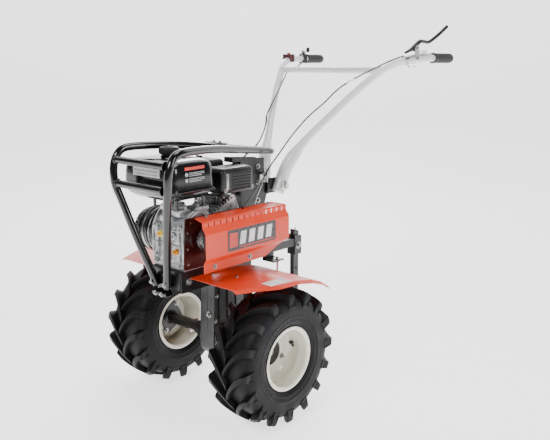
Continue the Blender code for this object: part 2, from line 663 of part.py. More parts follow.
def stacked(levels):
    """A closed body through rounded rectangles, one above the other, at the tank's place."""
    mesh = bpy.data.meshes.new("stacked")
    verts, faces = [], []
    for z, half_x, half_y, r in levels:
        corners = [(-half_x, -half_y, r), (half_x, -half_y, r), (half_x, half_y, r), (-half_x, half_y, r)]
        verts += [(x + TANK_X, y + TANK_Y, z) for x, y in rounded(corners, 3)]
    around = len(verts) // len(levels)
    for low in range(0, len(verts) - around, around):
        for n in range(around):
            right = (n + 1) % around
            faces.append((low + n, low + right, low + around + right, low + around + n))
    faces.append(tuple(reversed(range(around))))
    faces.append(tuple(range(len(verts) - around, len(verts))))
    mesh.from_pydata(verts, [], faces)
    weld(mesh)
    body = bpy.data.objects.new("stacked", mesh)
    bpy.context.scene.collection.objects.link(body)
    return body


def fuel_cap():
    profile = [(0, 0.034), (0.030, 0.034), (0.034, 0.031), (0.0345, 0.009), (0.027, 0.007), (0.027, 0.0),
               (0, 0.0)]
    adopt(turned(profile, CAP_PLACE, Z_AXIS, 24), "fuel_cap", BLACK)


def muffler():
    """Box silencer above the cylinder, with its pipe down to the head."""
    can = bevel(box((0.002, -0.052, 0.784), (0.100, 0.104, 0.874)), 0.014, 2)
    pipe = rod((0.040, -0.012, 0.7755), (0.040, -0.012, 0.790), 0.014, 20)
    chamber = box((0.012, -0.042, 0.794), (0.090, 0.094, 0.864))
    duct = rod((0.040, -0.012, 0.750), (0.040, -0.012, 0.800), 0.011, 12)
    adopt(cut(join(can, pipe), chamber, duct), "muffler", BLACK)


def intake():
    """Carburettor beside the cylinder head and the air filter on top of it."""
    body = box((-0.115, 0.000, 0.700), (-0.0635, 0.050, 0.745))
    throat = rod((-0.118, 0.025, 0.722), (-0.0628, 0.025, 0.722), 0.018, 20)
    riser = rod((-0.092, 0.025, 0.740), (-0.092, 0.025, 0.7855), 0.015, 20)
    adopt(join(bevel(body, 0.003, 1), throat, riser), "carburettor", ALUMINIUM)
    filter_box = bevel(box((-0.158, -0.055, 0.7860), (-0.026, 0.082, 0.888)), 0.016, 2)
    adopt(filter_box, "air_filter", BLACK)
    lever = plate([rounded([(0.018, 0.715, 0.006), (0.032, 0.715, 0.006), (0.032, 0.755, 0.006),
                            (0.018, 0.755, 0.006)])], -0.122, 0.003, YZ_PLANE)
    adopt(lever, "choke_lever", PLASTIC, (-0.1205, 0.025, 0.722))
    arm = plate([rounded([(-0.034, 0.742, 0.005), (-0.024, 0.742, 0.005), (-0.024, 0.782, 0.005),
                          (-0.034, 0.782, 0.005)])], -0.0700, 0.003, YZ_PLANE)
    adopt(arm, "throttle_arm", ZINC, (-0.0685, -0.029, 0.748))


def oil_caps():
    """Filler cap low on the case and the dipstick cap above it, both on the front face."""
    front = -0.2236
    plug = [(0, 0.014), (0.009, 0.014), (0.011, 0.012), (0.011, 0.0), (0, 0.0)]
    adopt(turned(plug, (0.052, front, 0.611), -Y_AXIS, 20), "oil_plug", ((0.90, 0.35, 0.02), 0.5, 0.0))
    stick = [(0, 0.012), (0.010, 0.012), (0.0115, 0.010), (0.0115, 0.0), (0, 0.0)]
    adopt(turned(stick, (-0.028, front, 0.662), -Y_AXIS, 20), "dipstick", ((0.75, 0.65, 0.05), 0.5, 0.0))


# ---- handlebar and controls ----
HANDLE_ROUTE = [(0.0460, 0.290, 0.7450), (0.0465, 0.308, 0.7800), (0.0480, 0.316, 0.8000), (0.0580, 0.329, 0.8400),
                (0.0720, 0.351, 0.8800), (0.0880, 0.380, 0.9200), (0.1080, 0.413, 0.9600),
                (0.1560, 0.487, 1.0400), (0.2040, 0.567, 1.1200), (0.2430, 0.636, 1.1800),
                (0.2620, 0.668, 1.2030), (0.2860, 0.708, 1.2240), (0.3130, 0.762, 1.2380),
                (0.3340, 0.826, 1.2460), (0.3410, 0.866, 1.2476), (GRIP_X, 0.897, GRIP_Z),
                (GRIP_X, 0.950, GRIP_Z), (GRIP_X, 1.042, GRIP_Z)]
SWAGE = {0: 1.75, 1: 1.75, 2: 1.75, 3: 1.75, 4: 1.72, 5: 1.15}


def handle_tube(route, extra=0.0):
    return tube(route, HANDLE_TUBE + extra, 4, [SWAGE.get(n, 1.0) for n in range(len(route))])


def handlebar():
    hinge = (0, PIVOT_Y, PIVOT_Z)
    for side, route in (("left", HANDLE_ROUTE), ("right", mirrored(HANDLE_ROUTE))):
        bolt_hole = rod((-0.1, PIVOT_Y, PIVOT_Z), (0.1, PIVOT_Y, PIVOT_Z), 0.0064, 20)
        slot_in = box((-0.0195, 0.2, 0.70), (0.0195, 0.40, 0.84))
        adopt(cut(handle_tube(route), bolt_hole, slot_in), side + "_handle", WHITE, hinge)
    bar = rod((-0.30, 0.659, 1.200), (0.30, 0.659, 1.200), 0.0125, 16)
    trims = [handle_tube(route, GAP) for route in (HANDLE_ROUTE, mirrored(HANDLE_ROUTE))]
    ends = [box((0.262, 0.6, 1.1), (0.35, 0.72, 1.3)), box((-0.35, 0.6, 1.1), (-0.262, 0.72, 1.3))]
    adopt(cut(bar, *trims, *ends), "handle_crossbar", WHITE, hinge)
    grip("left", 1, 0.900)
    grip("right", -1, 0.933)


def grip(side, sign, start):
    """Rubber sleeve over the end of one handle tube, from its collar to the closed end."""
    bore, length = HANDLE_TUBE + 0.0004, GRIP_END - start
    profile = [(0, length), (0.0170, length), (0.0195, length - 0.0025), (0.0195, 0.008), (0.0210, 0.006),
               (0.0210, 0.0), (bore, 0.0), (bore, length - 0.0045), (0, length - 0.0045)]
    adopt(turned(profile, (sign * GRIP_X, start, GRIP_Z), Y_AXIS, 24), side + "_grip", RUBBER)


CLUTCH_PIVOT = (0.3260, 0.790, 1.2830)
CLUTCH_ROUTE = [(0.3260, 0.722, 1.2680), (0.3260, 0.756, 1.2790), (0.3260, 0.790, 1.2950),
                (0.3260, 0.826, 1.3120), (0.3290, 0.855, 1.3120), (0.3340, 0.885, 1.3120),
                (0.3390, 0.945, 1.3400), (0.3420, 1.008, 1.3740)]


def clutch_controls():
    """Zinc bracket clamped round the left handle and the lever that pivots on its ear."""
    clamp = box((0.306, 0.745, 1.2180), (0.342, 0.812, 1.2585))
    tail = box((0.318, 0.800, 1.2500), (0.350, 0.872, 1.2660))
    ear = plate([rounded([(0.772, 1.250, 0.001), (0.810, 1.250, 0.001), (0.802, 1.296, 0.008),
                          (0.780, 1.296, 0.008)])], 0.3345, 0.0035, YZ_PLANE)
    pin = rod((0.3170, *CLUTCH_PIVOT[1:]), (0.3360, *CLUTCH_PIVOT[1:]), 0.0030, 16)
    adopt(cut(join(clamp, tail, ear, pin), handle_tube(HANDLE_ROUTE, GAP)), "clutch_bracket", ZINC)
    lever = tube(smooth_path(CLUTCH_ROUTE, 2), 0.0075, 2)
    boss = rod((0.3185, *CLUTCH_PIVOT[1:]), (0.3335, *CLUTCH_PIVOT[1:]), 0.0095, 20)
    hole = rod((0.30, *CLUTCH_PIVOT[1:]), (0.35, *CLUTCH_PIVOT[1:]), 0.0034, 16)
    adopt(cut(join(lever, boss), hole), "clutch_lever", BLACK, CLUTCH_PIVOT)


THROTTLE_PIVOT = (-0.3420, 0.910, 1.2830)


def throttle_controls():
    """Lever with a knob on a clamp beside the right grip, and the stop switch in front of it."""
    clamp = bevel(box((-0.361, 0.8980, 1.2290), (-0.325, 0.9240, 1.2700)), 0.003, 1)
    post = rod((-0.342, 0.910, 1.2650), (-0.342, 0.910, 1.2775), 0.0090, 20)
    adopt(cut(join(clamp, post), handle_tube(mirrored(HANDLE_ROUTE), GAP)), "throttle_clamp", BLACK)
    blade = plate([rounded([(-0.351, 0.901, 0.008), (-0.333, 0.901, 0.008), (-0.336, 0.952, 0.004),
                            (-0.348, 0.952, 0.004)])], 1.2780, 0.0030, XY_PLANE)
    knob = rod((-0.342, 0.945, 1.2785), (-0.342, 0.945, 1.3000), 0.0080, 16)
    adopt(join(blade, knob), "throttle_lever", PLASTIC, THROTTLE_PIVOT)
    switch = bevel(box((-0.342, 0.762, 1.2320), (-0.296, 0.796, 1.2680)), 0.004, 2)
    well = rod((-0.319, 0.779, 1.2620), (-0.319, 0.779, 1.2900), 0.0086, 20)
    adopt(cut(switch, well, handle_tube(mirrored(HANDLE_ROUTE), GAP)), "stop_switch", PLASTIC)
    button = rod((-0.319, 0.779, 1.2655), (-0.319, 0.779, 1.2740), 0.0080, 20)
    adopt(button, "stop_button", ((0.55, 0.02, 0.02), 0.4, 0.0), (-0.319, 0.779, 1.2655))


# ---- cables ----
CABLE_RADIUS = 0.0030
CLUTCH_CABLE = [(0.3220, 0.7150, 1.2550), (0.3160, 0.655, 1.2420), (0.2980, 0.585, 1.2180),
                (0.2600, 0.477, 1.1720), (0.2300, 0.420, 1.1350), (0.2000, 0.375, 1.0860),
                (0.1600, 0.325, 1.0310), (0.1200, 0.280, 0.9620), (0.0850, 0.250, 0.8960),
                (0.0620, 0.232, 0.8550), (0.0580, 0.205, 0.8200), (0.0950, 0.120, 0.7860),
                (0.1230, 0.050, 0.7600), (0.1270, 0.0160, 0.7450), (0.1270, 0.0120, 0.7330),
                (0.1270, 0.0080, 0.7020)]
THROTTLE_CABLE = [(-0.3200, 0.8950, 1.2480), (-0.3130, 0.8350, 1.2120), (-0.2970, 0.7900, 1.2060),
                  (-0.2620, 0.7000, 1.1860), (-0.2340, 0.6560, 1.1710), (-0.1930, 0.5840, 1.1400),
                  (-0.1640, 0.5350, 1.1180), (-0.1440, 0.4420, 1.0290), (-0.1200, 0.4040, 0.9860),
                  (-0.1060, 0.3680, 0.9470), (-0.0920, 0.3200, 0.9120), (-0.0830, 0.2400, 0.8740),
                  (-0.0780, 0.1600, 0.8200), (-0.0720, 0.1100, 0.7720), (-0.0690, 0.0500, 0.7570),
                  (-0.0685, 0.0000, 0.7560), (-0.0685, -0.0200, 0.7580)]


def cables():
    adopt(tube(smooth_path(CLUTCH_CABLE, 2), CABLE_RADIUS, 2), "clutch_cable", PLASTIC)
    adopt(tube(smooth_path(THROTTLE_CABLE, 2), CABLE_RADIUS, 2), "throttle_cable", PLASTIC)
    stop = box((0.0225, 0.2100, 0.8200), (0.0660, 0.2350, 0.8235))
    fixing = box((0.0224, 0.2100, 0.7900), (0.0255, 0.2350, 0.8235))
    passage = tube(smooth_path(CLUTCH_CABLE, 2), CABLE_RADIUS + GAP, 2)
    adopt(cut(join(stop, fixing), passage), "cable_stop", ZINC)


def main():
    for side, sign in (("left", 1), ("right", -1)):
        wheel(side, sign)
        fender(side, sign)
    axle()
    gearbox()
    engine_pulley()
    input_pulley()
    drive_belt()
    idler()
    belt_guard()
    belt_cover()
    engine_bed()
    bumper()
    handle_column()
    pivot_bracket()
    drawbar()
    coulter()
    crankcase()
    cylinder()
    crankshaft()
    blower()
    starter_handle()
    fuel_tank()
    fuel_cap()
    muffler()
    intake()
    oil_caps()
    handlebar()
    clutch_controls()
    throttle_controls()
    cables()


main()
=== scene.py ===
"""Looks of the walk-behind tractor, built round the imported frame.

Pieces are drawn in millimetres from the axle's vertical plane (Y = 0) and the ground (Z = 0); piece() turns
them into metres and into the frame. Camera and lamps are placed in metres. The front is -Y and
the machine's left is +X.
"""
from math import cos, pi, radians, sin

import bmesh
import bpy
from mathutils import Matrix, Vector


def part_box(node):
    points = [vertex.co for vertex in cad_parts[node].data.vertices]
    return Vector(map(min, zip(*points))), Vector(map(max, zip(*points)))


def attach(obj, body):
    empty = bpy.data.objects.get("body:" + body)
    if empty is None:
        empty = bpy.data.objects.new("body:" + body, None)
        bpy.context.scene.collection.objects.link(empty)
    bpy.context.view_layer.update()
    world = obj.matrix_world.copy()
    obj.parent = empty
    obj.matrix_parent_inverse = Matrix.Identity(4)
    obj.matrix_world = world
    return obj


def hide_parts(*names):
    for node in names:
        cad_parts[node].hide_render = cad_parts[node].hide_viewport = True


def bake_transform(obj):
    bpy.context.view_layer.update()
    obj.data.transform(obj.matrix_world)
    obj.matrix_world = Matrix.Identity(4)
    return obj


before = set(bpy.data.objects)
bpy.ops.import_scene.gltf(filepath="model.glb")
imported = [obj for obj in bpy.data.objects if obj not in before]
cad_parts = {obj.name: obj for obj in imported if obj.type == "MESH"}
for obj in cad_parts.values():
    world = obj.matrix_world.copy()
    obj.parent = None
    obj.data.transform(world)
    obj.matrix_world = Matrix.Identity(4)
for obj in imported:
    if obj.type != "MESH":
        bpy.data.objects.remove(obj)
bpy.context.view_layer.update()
AXLE_LOW, AXLE_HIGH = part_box("axle")
SHIFT = Vector((0, (AXLE_LOW.y + AXLE_HIGH.y) / 2, 0))
AXLE_Z = (AXLE_LOW.z + AXLE_HIGH.z) / 2 * 1000
SCENE = bpy.context.scene
X, Y, Z = Vector((1, 0, 0)), Vector((0, 1, 0)), Vector((0, 0, 1))
CRANK = Vector((0, -145, 650))


# ---- camera, floor and light ----
def added(name, data):
    obj = bpy.data.objects.new(name, data)
    SCENE.collection.objects.link(obj)
    return obj


def camera():
    data = bpy.data.cameras.new("camera")
    obj = added("camera", data)
    data.lens = 45.97
    data.sensor_width = 36
    turn, pitch = radians(41.6), radians(12.61)
    ahead = Vector((-sin(turn) * cos(pitch), cos(turn) * cos(pitch), -sin(pitch)))
    obj.location = Vector((1.806, -1.708, 1.229)) + SHIFT
    obj.rotation_mode = "QUATERNION"
    obj.rotation_quaternion = ahead.to_track_quat("-Z", "Y")
    SCENE.camera = obj


def lamp(name, place, aim, size, power, colour=(1, 1, 1)):
    data = bpy.data.lights.new(name, "AREA")
    data.shape = "RECTANGLE"
    data.size, data.size_y = size
    data.energy = power
    data.color = colour
    obj = added(name, data)
    obj.location = Vector(place)
    obj.rotation_mode = "QUATERNION"
    obj.rotation_quaternion = (Vector(aim) - obj.location).to_track_quat("-Z", "Y")


def studio():
    """A pale sweep (floor and curved wall in one) that glows a little, and four soft lamps."""
    bm = bmesh.new()
    profile = [(-9.0, 0.0), (3.0, 0.0), (4.0, 0.15), (4.8, 0.6), (5.3, 1.4), (5.5, 2.4), (5.5, 9.0)]
    along, across = Vector((-0.664, 0.748, 0)), Vector((0.748, 0.664, 0))
    rows = [[bm.verts.new(along * y + across * x + Vector((0, 0, z))) for x in (-14, 14)] for y, z in profile]
    for first, second in zip(rows, rows[1:]):
        bm.faces.new((first[0], first[1], second[1], second[0]))
    mesh = bpy.data.meshes.new("floor")
    bm.to_mesh(mesh)
    bm.free()
    mesh.shade_smooth()
    floor = added("floor", mesh)
    pale = bpy.data.materials.new("pale_floor")
    pale.use_nodes = True
    fill(pale.node_tree.nodes["Principled BSDF"], Base_Color=(0.9, 0.9, 0.9, 1), Roughness=0.95,
        Specular_IOR_Level=0.0, Emission_Color=(1, 1, 1, 1), Emission_Strength=1.7)
    mesh.materials.append(pale)
    world = bpy.data.worlds.new("studio")
    SCENE.world = world
    world.use_nodes = True
    fill(world.node_tree.nodes["Background"], Color=(1, 1, 1, 1), Strength=0.12)
    middle = (0, 0, 0.6)
    lamp("key", (0.6, -3.4, 3.0), middle, (1.4, 1.0), 95)
    lamp("side", (3.6, 0.2, 2.2), middle, (0.8, 1.8), 60)
    lamp("back", (-2.6, 2.6, 2.6), middle, (1.4, 1.2), 60)
    lamp("top", (0.2, 0.2, 3.6), middle, (1.6, 1.6), 50)


# ---- materials ----
def fill(node, **values):
    """Sets a node's sockets by name."""
    for key, value in values.items():
        node.inputs[key.replace("_", " ")].default_value = value


class Nodes:
    """A small wrapper that adds and links shader nodes of one material."""

    def __init__(self, name):
        self.material = bpy.data.materials.new(name)
        self.material.use_nodes = True
        self.tree = self.material.node_tree
        self.shader = self.tree.nodes["Principled BSDF"]
        self.place = self.add("ShaderNodeTexCoord").outputs["Object"]

    def add(self, kind, **values):
        node = self.tree.nodes.new(kind)
        for key, value in values.items():
            setattr(node, key, value)
        return node

    def link(self, source, target):
        self.tree.links.new(source, target)

    def noise(self, scale, detail=4, rough=0.55):
        node = self.add("ShaderNodeTexNoise")
        fill(node, Scale=scale, Detail=detail, Roughness=rough)
        self.link(self.place, node.inputs["Vector"])
        return node.outputs["Fac"]

    def ramp(self, source, low, high, start=0.0, end=1.0):
        """The source's start..end range mapped onto two colours."""
        node = self.add("ShaderNodeValToRGB")
        node.color_ramp.elements[0].position = start
        node.color_ramp.elements[1].position = end
        node.color_ramp.elements[0].color = (*low, 1)
        node.color_ramp.elements[1].color = (*high, 1)
        self.link(source, node.inputs["Fac"])
        return node.outputs["Color"]

    def grey(self, source, low, high, start=0.0, end=1.0):
        return self.ramp(source, (low,) * 3, (high,) * 3, start, end)

    def mix(self, share, first, second):
        node = self.add("ShaderNodeMix", data_type="RGBA")
        self.link(share, node.inputs["Factor"])
        self.link(first, node.inputs["A"])
        self.link(second, node.inputs["B"])
        return node.outputs["Result"]

    def bump(self, *layers):
        """Noise layers of (height, strength, distance), stacked into the shader's normal."""
        before = None
        for height, strength, distance in layers:
            node = self.add("ShaderNodeBump")
            fill(node, Strength=strength, Distance=distance)
            self.link(height, node.inputs["Height"])
            if before is not None:
                self.link(before, node.inputs["Normal"])
            before = node.outputs["Normal"]
        self.link(before, self.shader.inputs["Normal"])

    def wire(self, **sources):
        for key, source in sources.items():
            self.link(source, self.shader.inputs[key.replace("_", " ")])

    def set(self, **values):
        fill(self.shader, **values)


def shade(colour, factor):
    return tuple(min(1.0, part * factor) for part in colour)


def paint(name, colour, rough=0.28, coat=0.6, peel=0.05, chip=None):
    """Stoved paint: orange-peel ripple, a little uneven gloss and rubbed edges."""
    n = Nodes(name)
    patch = n.noise(7, 5)
    body = n.ramp(patch, shade(colour, 0.9), shade(colour, 1.06), 0.3, 0.7)
    if chip is not None:
        edge = n.add("ShaderNodeNewGeometry").outputs["Pointiness"]
        rubbed = n.ramp(edge, (0, 0, 0), (0.5, 0.5, 0.5), 0.56, 0.7)
        worn = n.ramp(n.noise(90, 4), chip, shade(chip, 0.7))
        body = n.mix(rubbed, body, worn)
    n.wire(Base_Color=body)
    n.wire(Roughness=n.grey(n.noise(22, 5), rough * 0.8, rough * 1.25, 0.3, 0.7))
    n.bump((n.noise(420, 2), peel, 0.0006), (n.noise(35, 2), peel * 0.6, 0.002))
    n.set(Coat_Weight=coat, Coat_Roughness=0.08)
    return n.material


def plastic(name, colour, rough=0.5, grain=0.25):
    """Moulded plastic: fine spark-eroded grain and slightly uneven sheen."""
    n = Nodes(name)
    n.wire(Base_Color=n.ramp(n.noise(14, 4), shade(colour, 0.8), shade(colour, 1.25), 0.3, 0.7))
    n.wire(Roughness=n.grey(n.noise(60, 5), rough * 0.8, rough * 1.2, 0.3, 0.7))
    n.bump((n.noise(1500, 2), grain, 0.0003), (n.noise(300, 3), grain * 0.4, 0.0005))
    return n.material


def tyre_rubber(name):
    """Moulded tyre rubber: matt, with a faint bluish bloom on patches and dusty raised edges."""
    n = Nodes(name)
    base = n.ramp(n.noise(9, 6), (0.003, 0.0031, 0.0035), (0.008, 0.0084, 0.0096), 0.35, 0.7)
    edge = n.add("ShaderNodeNewGeometry").outputs["Pointiness"]
    rub = n.ramp(edge, (0, 0, 0), (0.55, 0.55, 0.55), 0.52, 0.66)
    n.wire(Base_Color=n.mix(rub, base, n.ramp(n.noise(60, 5), (0.01, 0.011, 0.013), (0.02, 0.021, 0.024))))
    n.wire(Roughness=n.grey(n.noise(18, 6), 0.42, 0.66, 0.3, 0.7))
    n.bump((n.noise(900, 3), 0.35, 0.0004), (n.noise(70, 5), 0.2, 0.0012))
    n.set(Specular_IOR_Level=0.18)
    return n.material


def soft_rubber(name, colour):
    n = Nodes(name)
    n.wire(Base_Color=n.ramp(n.noise(30, 5), shade(colour, 0.8), shade(colour, 1.4), 0.3, 0.7))
    n.wire(Roughness=n.grey(n.noise(90, 4), 0.45, 0.65, 0.3, 0.7))
    n.bump((n.noise(1300, 3), 0.4, 0.0003), (n.noise(160, 3), 0.2, 0.0006))
    return n.material


def casting(name, light, dark, rough=0.42, metal=0.85, pit=0.55):
    """Die-cast metal: sandy skin, mottled colour, darker in the hollows; the ridges keep the lighter mottled
    colour.
    """
    n = Nodes(name)
    mottled = n.ramp(n.noise(38, 8, 0.65), dark, light, 0.36, 0.62)
    edge = n.add("ShaderNodeNewGeometry").outputs["Pointiness"]
    # Pointiness picks out the hollows; there the colour is mixed towards a much darker tone.
    hollow_mask = n.ramp(edge, (1, 1, 1), (0, 0, 0), 0.42, 0.5)
    hollow_darkened_colour = n.mix(hollow_mask, mottled, n.ramp(n.noise(25, 4), shade(dark, 0.35), shade(dark, 0.8)))
    n.wire(Base_Color=hollow_darkened_colour)
    n.wire(Roughness=n.grey(n.noise(55, 6), rough * 0.75, rough * 1.35, 0.3, 0.7))
    n.bump((n.noise(750, 4), pit, 0.0006), (n.noise(120, 4), pit * 0.5, 0.0014))
    n.set(Metallic=metal)
    return n.material


def steel(name, light, dark, rough=0.28, spots=160):
    """Plated or turned steel: small cloudy patches and fine scratches."""
    n = Nodes(name)
    n.wire(Base_Color=n.ramp(n.noise(spots, 6, 0.7), dark, light, 0.35, 0.65))
    n.wire(Roughness=n.grey(n.noise(spots * 2.5, 4), rough * 0.7, rough * 1.4, 0.3, 0.7))
    n.bump((n.noise(1900, 3), 0.12, 0.0002), (n.noise(260, 3), 0.1, 0.0004))
    n.set(Metallic=1.0)
    return n.material


TYRE = tyre_rubber("tyre_rubber")
CREAM = paint("rim_cream", (0.74, 0.715, 0.6), 0.2, 0.8, 0.04)
BLACK = paint("black_gloss", (0.0035, 0.0035, 0.0038), 0.16, 0.35, 0.03, (0.015, 0.015, 0.015))
SATIN = paint("black_satin", (0.0045, 0.0045, 0.005), 0.36, 0.08, 0.08, (0.018, 0.018, 0.018))
ORANGE = paint("orange_red", (0.72, 0.034, 0.002), 0.36, 0.05, 0.03, (0.78, 0.05, 0.004))
WHITE = paint("white_gloss", (0.7, 0.7, 0.71), 0.26, 0.4, 0.03)
ALLOY = casting("cast_alloy", (0.66, 0.67, 0.68), (0.24, 0.245, 0.25))
ALLOY_CLEAN = casting("clean_alloy", (0.72, 0.72, 0.73), (0.42, 0.42, 0.43), 0.36, 0.9, 0.3)
IRON = casting("flywheel_iron", (0.3, 0.3, 0.3), (0.1, 0.1, 0.1), 0.5)
BOLT = steel("plated_bolts", (0.46, 0.46, 0.45), (0.2, 0.2, 0.19), 0.34)
ZINC = steel("bright_zinc", (0.82, 0.82, 0.8), (0.5, 0.5, 0.47))
TURNED = steel("turned_steel", (0.66, 0.66, 0.67), (0.34, 0.34, 0.35), 0.24)
DARK_METAL = steel("dark_steel", (0.16, 0.16, 0.16), (0.06, 0.06, 0.06), 0.4)
PLASTIC = plastic("black_plastic", (0.006, 0.006, 0.006))
GRIP = soft_rubber("grip_rubber", (0.014, 0.014, 0.015))
BELT = soft_rubber("belt_rubber", (0.022, 0.021, 0.02))
MAROON = plastic("maroon_plastic", (0.055, 0.008, 0.01), 0.35)
GUARD = paint("guard_brown", (0.03, 0.006, 0.005), 0.22, 0.3, 0.05)
AMBER = plastic("amber_plastic", (0.95, 0.34, 0.015), 0.3, 0.1)
YELLOW = plastic("yellow_plastic", (0.78, 0.62, 0.03), 0.3, 0.1)
RED = plastic("red_plastic", (0.6, 0.015, 0.012), 0.3, 0.1)
PAPER = plastic("label_white", (0.72, 0.72, 0.72), 0.35, 0.05)
PRINT = plastic("label_dark", (0.03, 0.03, 0.032), 0.3, 0.05)
PRINT_GREY = plastic("label_grey", (0.34, 0.35, 0.37), 0.35, 0.05)
PRINT_RED = plastic("label_red", (0.62, 0.03, 0.02), 0.32, 0.05)
CABLE = plastic("cable_sleeve", (0.014, 0.014, 0.015), 0.32, 0.1)


# The slot name that piece() looks up for a material, unless the piece names its own.
SLOTS = {ALLOY: "cast_aluminium", ALLOY_CLEAN: "cast_aluminium", AMBER: "orange_plastic", BLACK:
    "black_paint", BOLT: "zinc_steel", CABLE: "black_plastic", CREAM: "rim_paint", DARK_METAL:
    "plain_steel", GRIP: "grip_rubber", ORANGE: "orange_paint", PAPER: "white_paint", PLASTIC:
    "black_plastic", PRINT: "black_paint", PRINT_GREY: "white_paint", PRINT_RED: "red_plastic", SATIN:
    "black_paint", TYRE: "tyre_rubber", WHITE: "white_paint", ZINC: "zinc_steel"}


# ---- mesh code ----
def loft(bm, rings, around=True, along=False):
    """Faces between rings of points; flat caps close the two ends unless the rings run round in a loop."""
    made = [[bm.verts.new(point) for point in ring] for ring in rings]
    count = len(made[0])
    pairs = list(zip(made, made[1:]))
    if along:
        pairs.append((made[-1], made[0]))
    for first, second in pairs:
        for n in range(count if around else count - 1):
            m = (n + 1) % count
            bm.faces.new((first[n], first[m], second[m], second[n]))
    if around and not along:
        bm.faces.new(list(reversed(made[0])))
        bm.faces.new(made[-1])
    return made


def axes_for(axis):
    """Two directions across an axis."""
    axis = Vector(axis).normalized()
    side = axis.cross(Z if abs(axis.z) < 0.9 else X).normalized()
    return side, axis.cross(side)


def lathe(bm, profile, centre, axis, steps=48, closed=False, roll=0.0, capped=True):
    """A (radius, height) profile turned about an axis; flat ends reach the axis unless closed or uncapped."""
    if capped and not closed:
        ends = [[(0, h)] if r > 0 else [] for r, h in (profile[0], profile[-1])]
        profile = ends[0] + profile + ends[1]
    axis, centre = Vector(axis).normalized(), Vector(centre)
    side, other = axes_for(axis)
    rings = []
    for n in range(steps):
        angle = roll + 2 * pi * n / steps
        out = side * cos(angle) + other * sin(angle)
        rings.append([centre + out * r + axis * h for r, h in profile])
    work = bmesh.new()
    loft(work, rings, around=closed, along=True)
    bmesh.ops.remove_doubles(work, verts=work.verts, dist=0.005)
    add(bm, work)


def ring(bm, profile, centre, axis, steps=48):
    """A closed profile turned about an axis."""
    lathe(bm, profile, centre, axis, steps, closed=True)


def add(bm, work):
    """Moves one bmesh's faces, made to face outwards, into another."""
    bmesh.ops.recalc_face_normals(work, faces=work.faces)
    mesh = bpy.data.meshes.new("work")
    work.to_mesh(mesh)
    work.free()
    bm.from_mesh(mesh)
    bpy.data.meshes.remove(mesh)


def smooth_path(knots, per_span=6):
    """Catmull-Rom curve through the knots."""
    knots = [Vector(k) for k in knots]
    ends = [knots[0] * 2 - knots[1], *knots, knots[-1] * 2 - knots[-2]]
    path = []
    for a, b, c, d in zip(ends, ends[1:], ends[2:], ends[3:]):
        for step in range(per_span):
            t = step / per_span
            path.append(0.5 * (2 * b + (c - a) * t + (2 * a - 5 * b + 4 * c - d) * t ** 2 + (3 * b - a - 3 *
                c + d) * t ** 3))
    path.append(knots[-1])
    return path


def sweep(bm, path, radius, sides=16, flat=None, roll=0.0):
    """A closed bar along a path, its radius a number or one per point; flat squeezes the second axis."""
    path = [Vector(p) for p in path]
    count = len(path)
    radii = radius if hasattr(radius, "__len__") else [radius] * count
    flats = flat if flat is not None else [1.0] * count
    ahead = (path[1] - path[0]).normalized()
    side, _ = axes_for(ahead)
    rings = []
    for n, point in enumerate(path):
        before, after = path[max(n - 1, 0)], path[min(n + 1, count - 1)]
        now = (after - before).normalized()
        side = ahead.rotation_difference(now) @ side
        ahead = now
        other = ahead.cross(side)
        ring = []
        for k in range(sides):
            angle = 2 * pi * k / sides + roll
            ring.append(point + side * cos(angle) * radii[n] + other * sin(angle) * radii[n] * flats[n])
        rings.append(ring)
    work = bmesh.new()
    loft(work, rings)
    add(bm, work)


def block(bm, low, high, round_by=0.0, steps=3, edges=None):
    """A block whose edges are rounded: all of them, or only those along one axis."""
    low, high = Vector(low), Vector(high)
    work = bmesh.new()
    bmesh.ops.create_cube(work, size=1)
    for vert in work.verts:
        vert.co = Vector(a * b for a, b in zip(vert.co, high - low)) + (low + high) / 2
    if round_by:
        chosen = work.edges
        if edges is not None:
            chosen = [e for e in work.edges if abs((e.verts[0].co - e.verts[1].co)[edges]) > 1e-6]
        bmesh.ops.bevel(work, geom=list(chosen), offset=round_by, segments=steps, profile=0.5, affect="EDGES")
    add(bm, work)


def prism(bm, outline, start, end, axis):
    """A flat outline extruded along X, Y or Z; its two numbers are the other axes in order."""
    def at(a, b, c):
        return {"X": (c, a, b), "Y": (a, c, b), "Z": (a, b, c)}[axis]
    work = bmesh.new()
    loft(work, [[Vector(at(a, b, start)) for a, b in outline], [Vector(at(a, b, end)) for a, b in outline]])
    add(bm, work)


def hex_bolt(bm, at, axis, size=10, height=None, washer=True):
    """Hexagon head with a chamfered crown on a washer, its base at the point; size is across the flats."""
    at, axis = Vector(at), Vector(axis).normalized()
    height = height or size * 0.6
    base = 0.0
    if washer:
        base = size * 0.14
        lathe(bm, [(size * 0.98, 0), (size * 1.0, base * 0.3), (size * 0.96, base)], at, axis, 24)
    r = size * 0.577
    lathe(bm, [(r, base), (r, base + height * 0.8), (r * 0.84, base + height)], at, axis, 6, roll=0.4)


def spring(bm, start, end, radius, wire, turns):
    start, end = Vector(start), Vector(end)
    side, other = axes_for(end - start)
    steps = turns * 12
    path = []
    for n in range(steps + 1):
        angle = 2 * pi * turns * n / steps
        path.append(start.lerp(end, n / steps) + side * cos(angle) * radius + other * sin(angle) * radius)
    sweep(bm, path, wire, 6)


def soften(obj, width, angle):
    mod = obj.modifiers.new("bevel", "BEVEL")
    mod.width = width / 1000
    mod.segments = 2
    mod.limit_method = "ANGLE"
    mod.angle_limit = radians(angle)
    mod.harden_normals = True


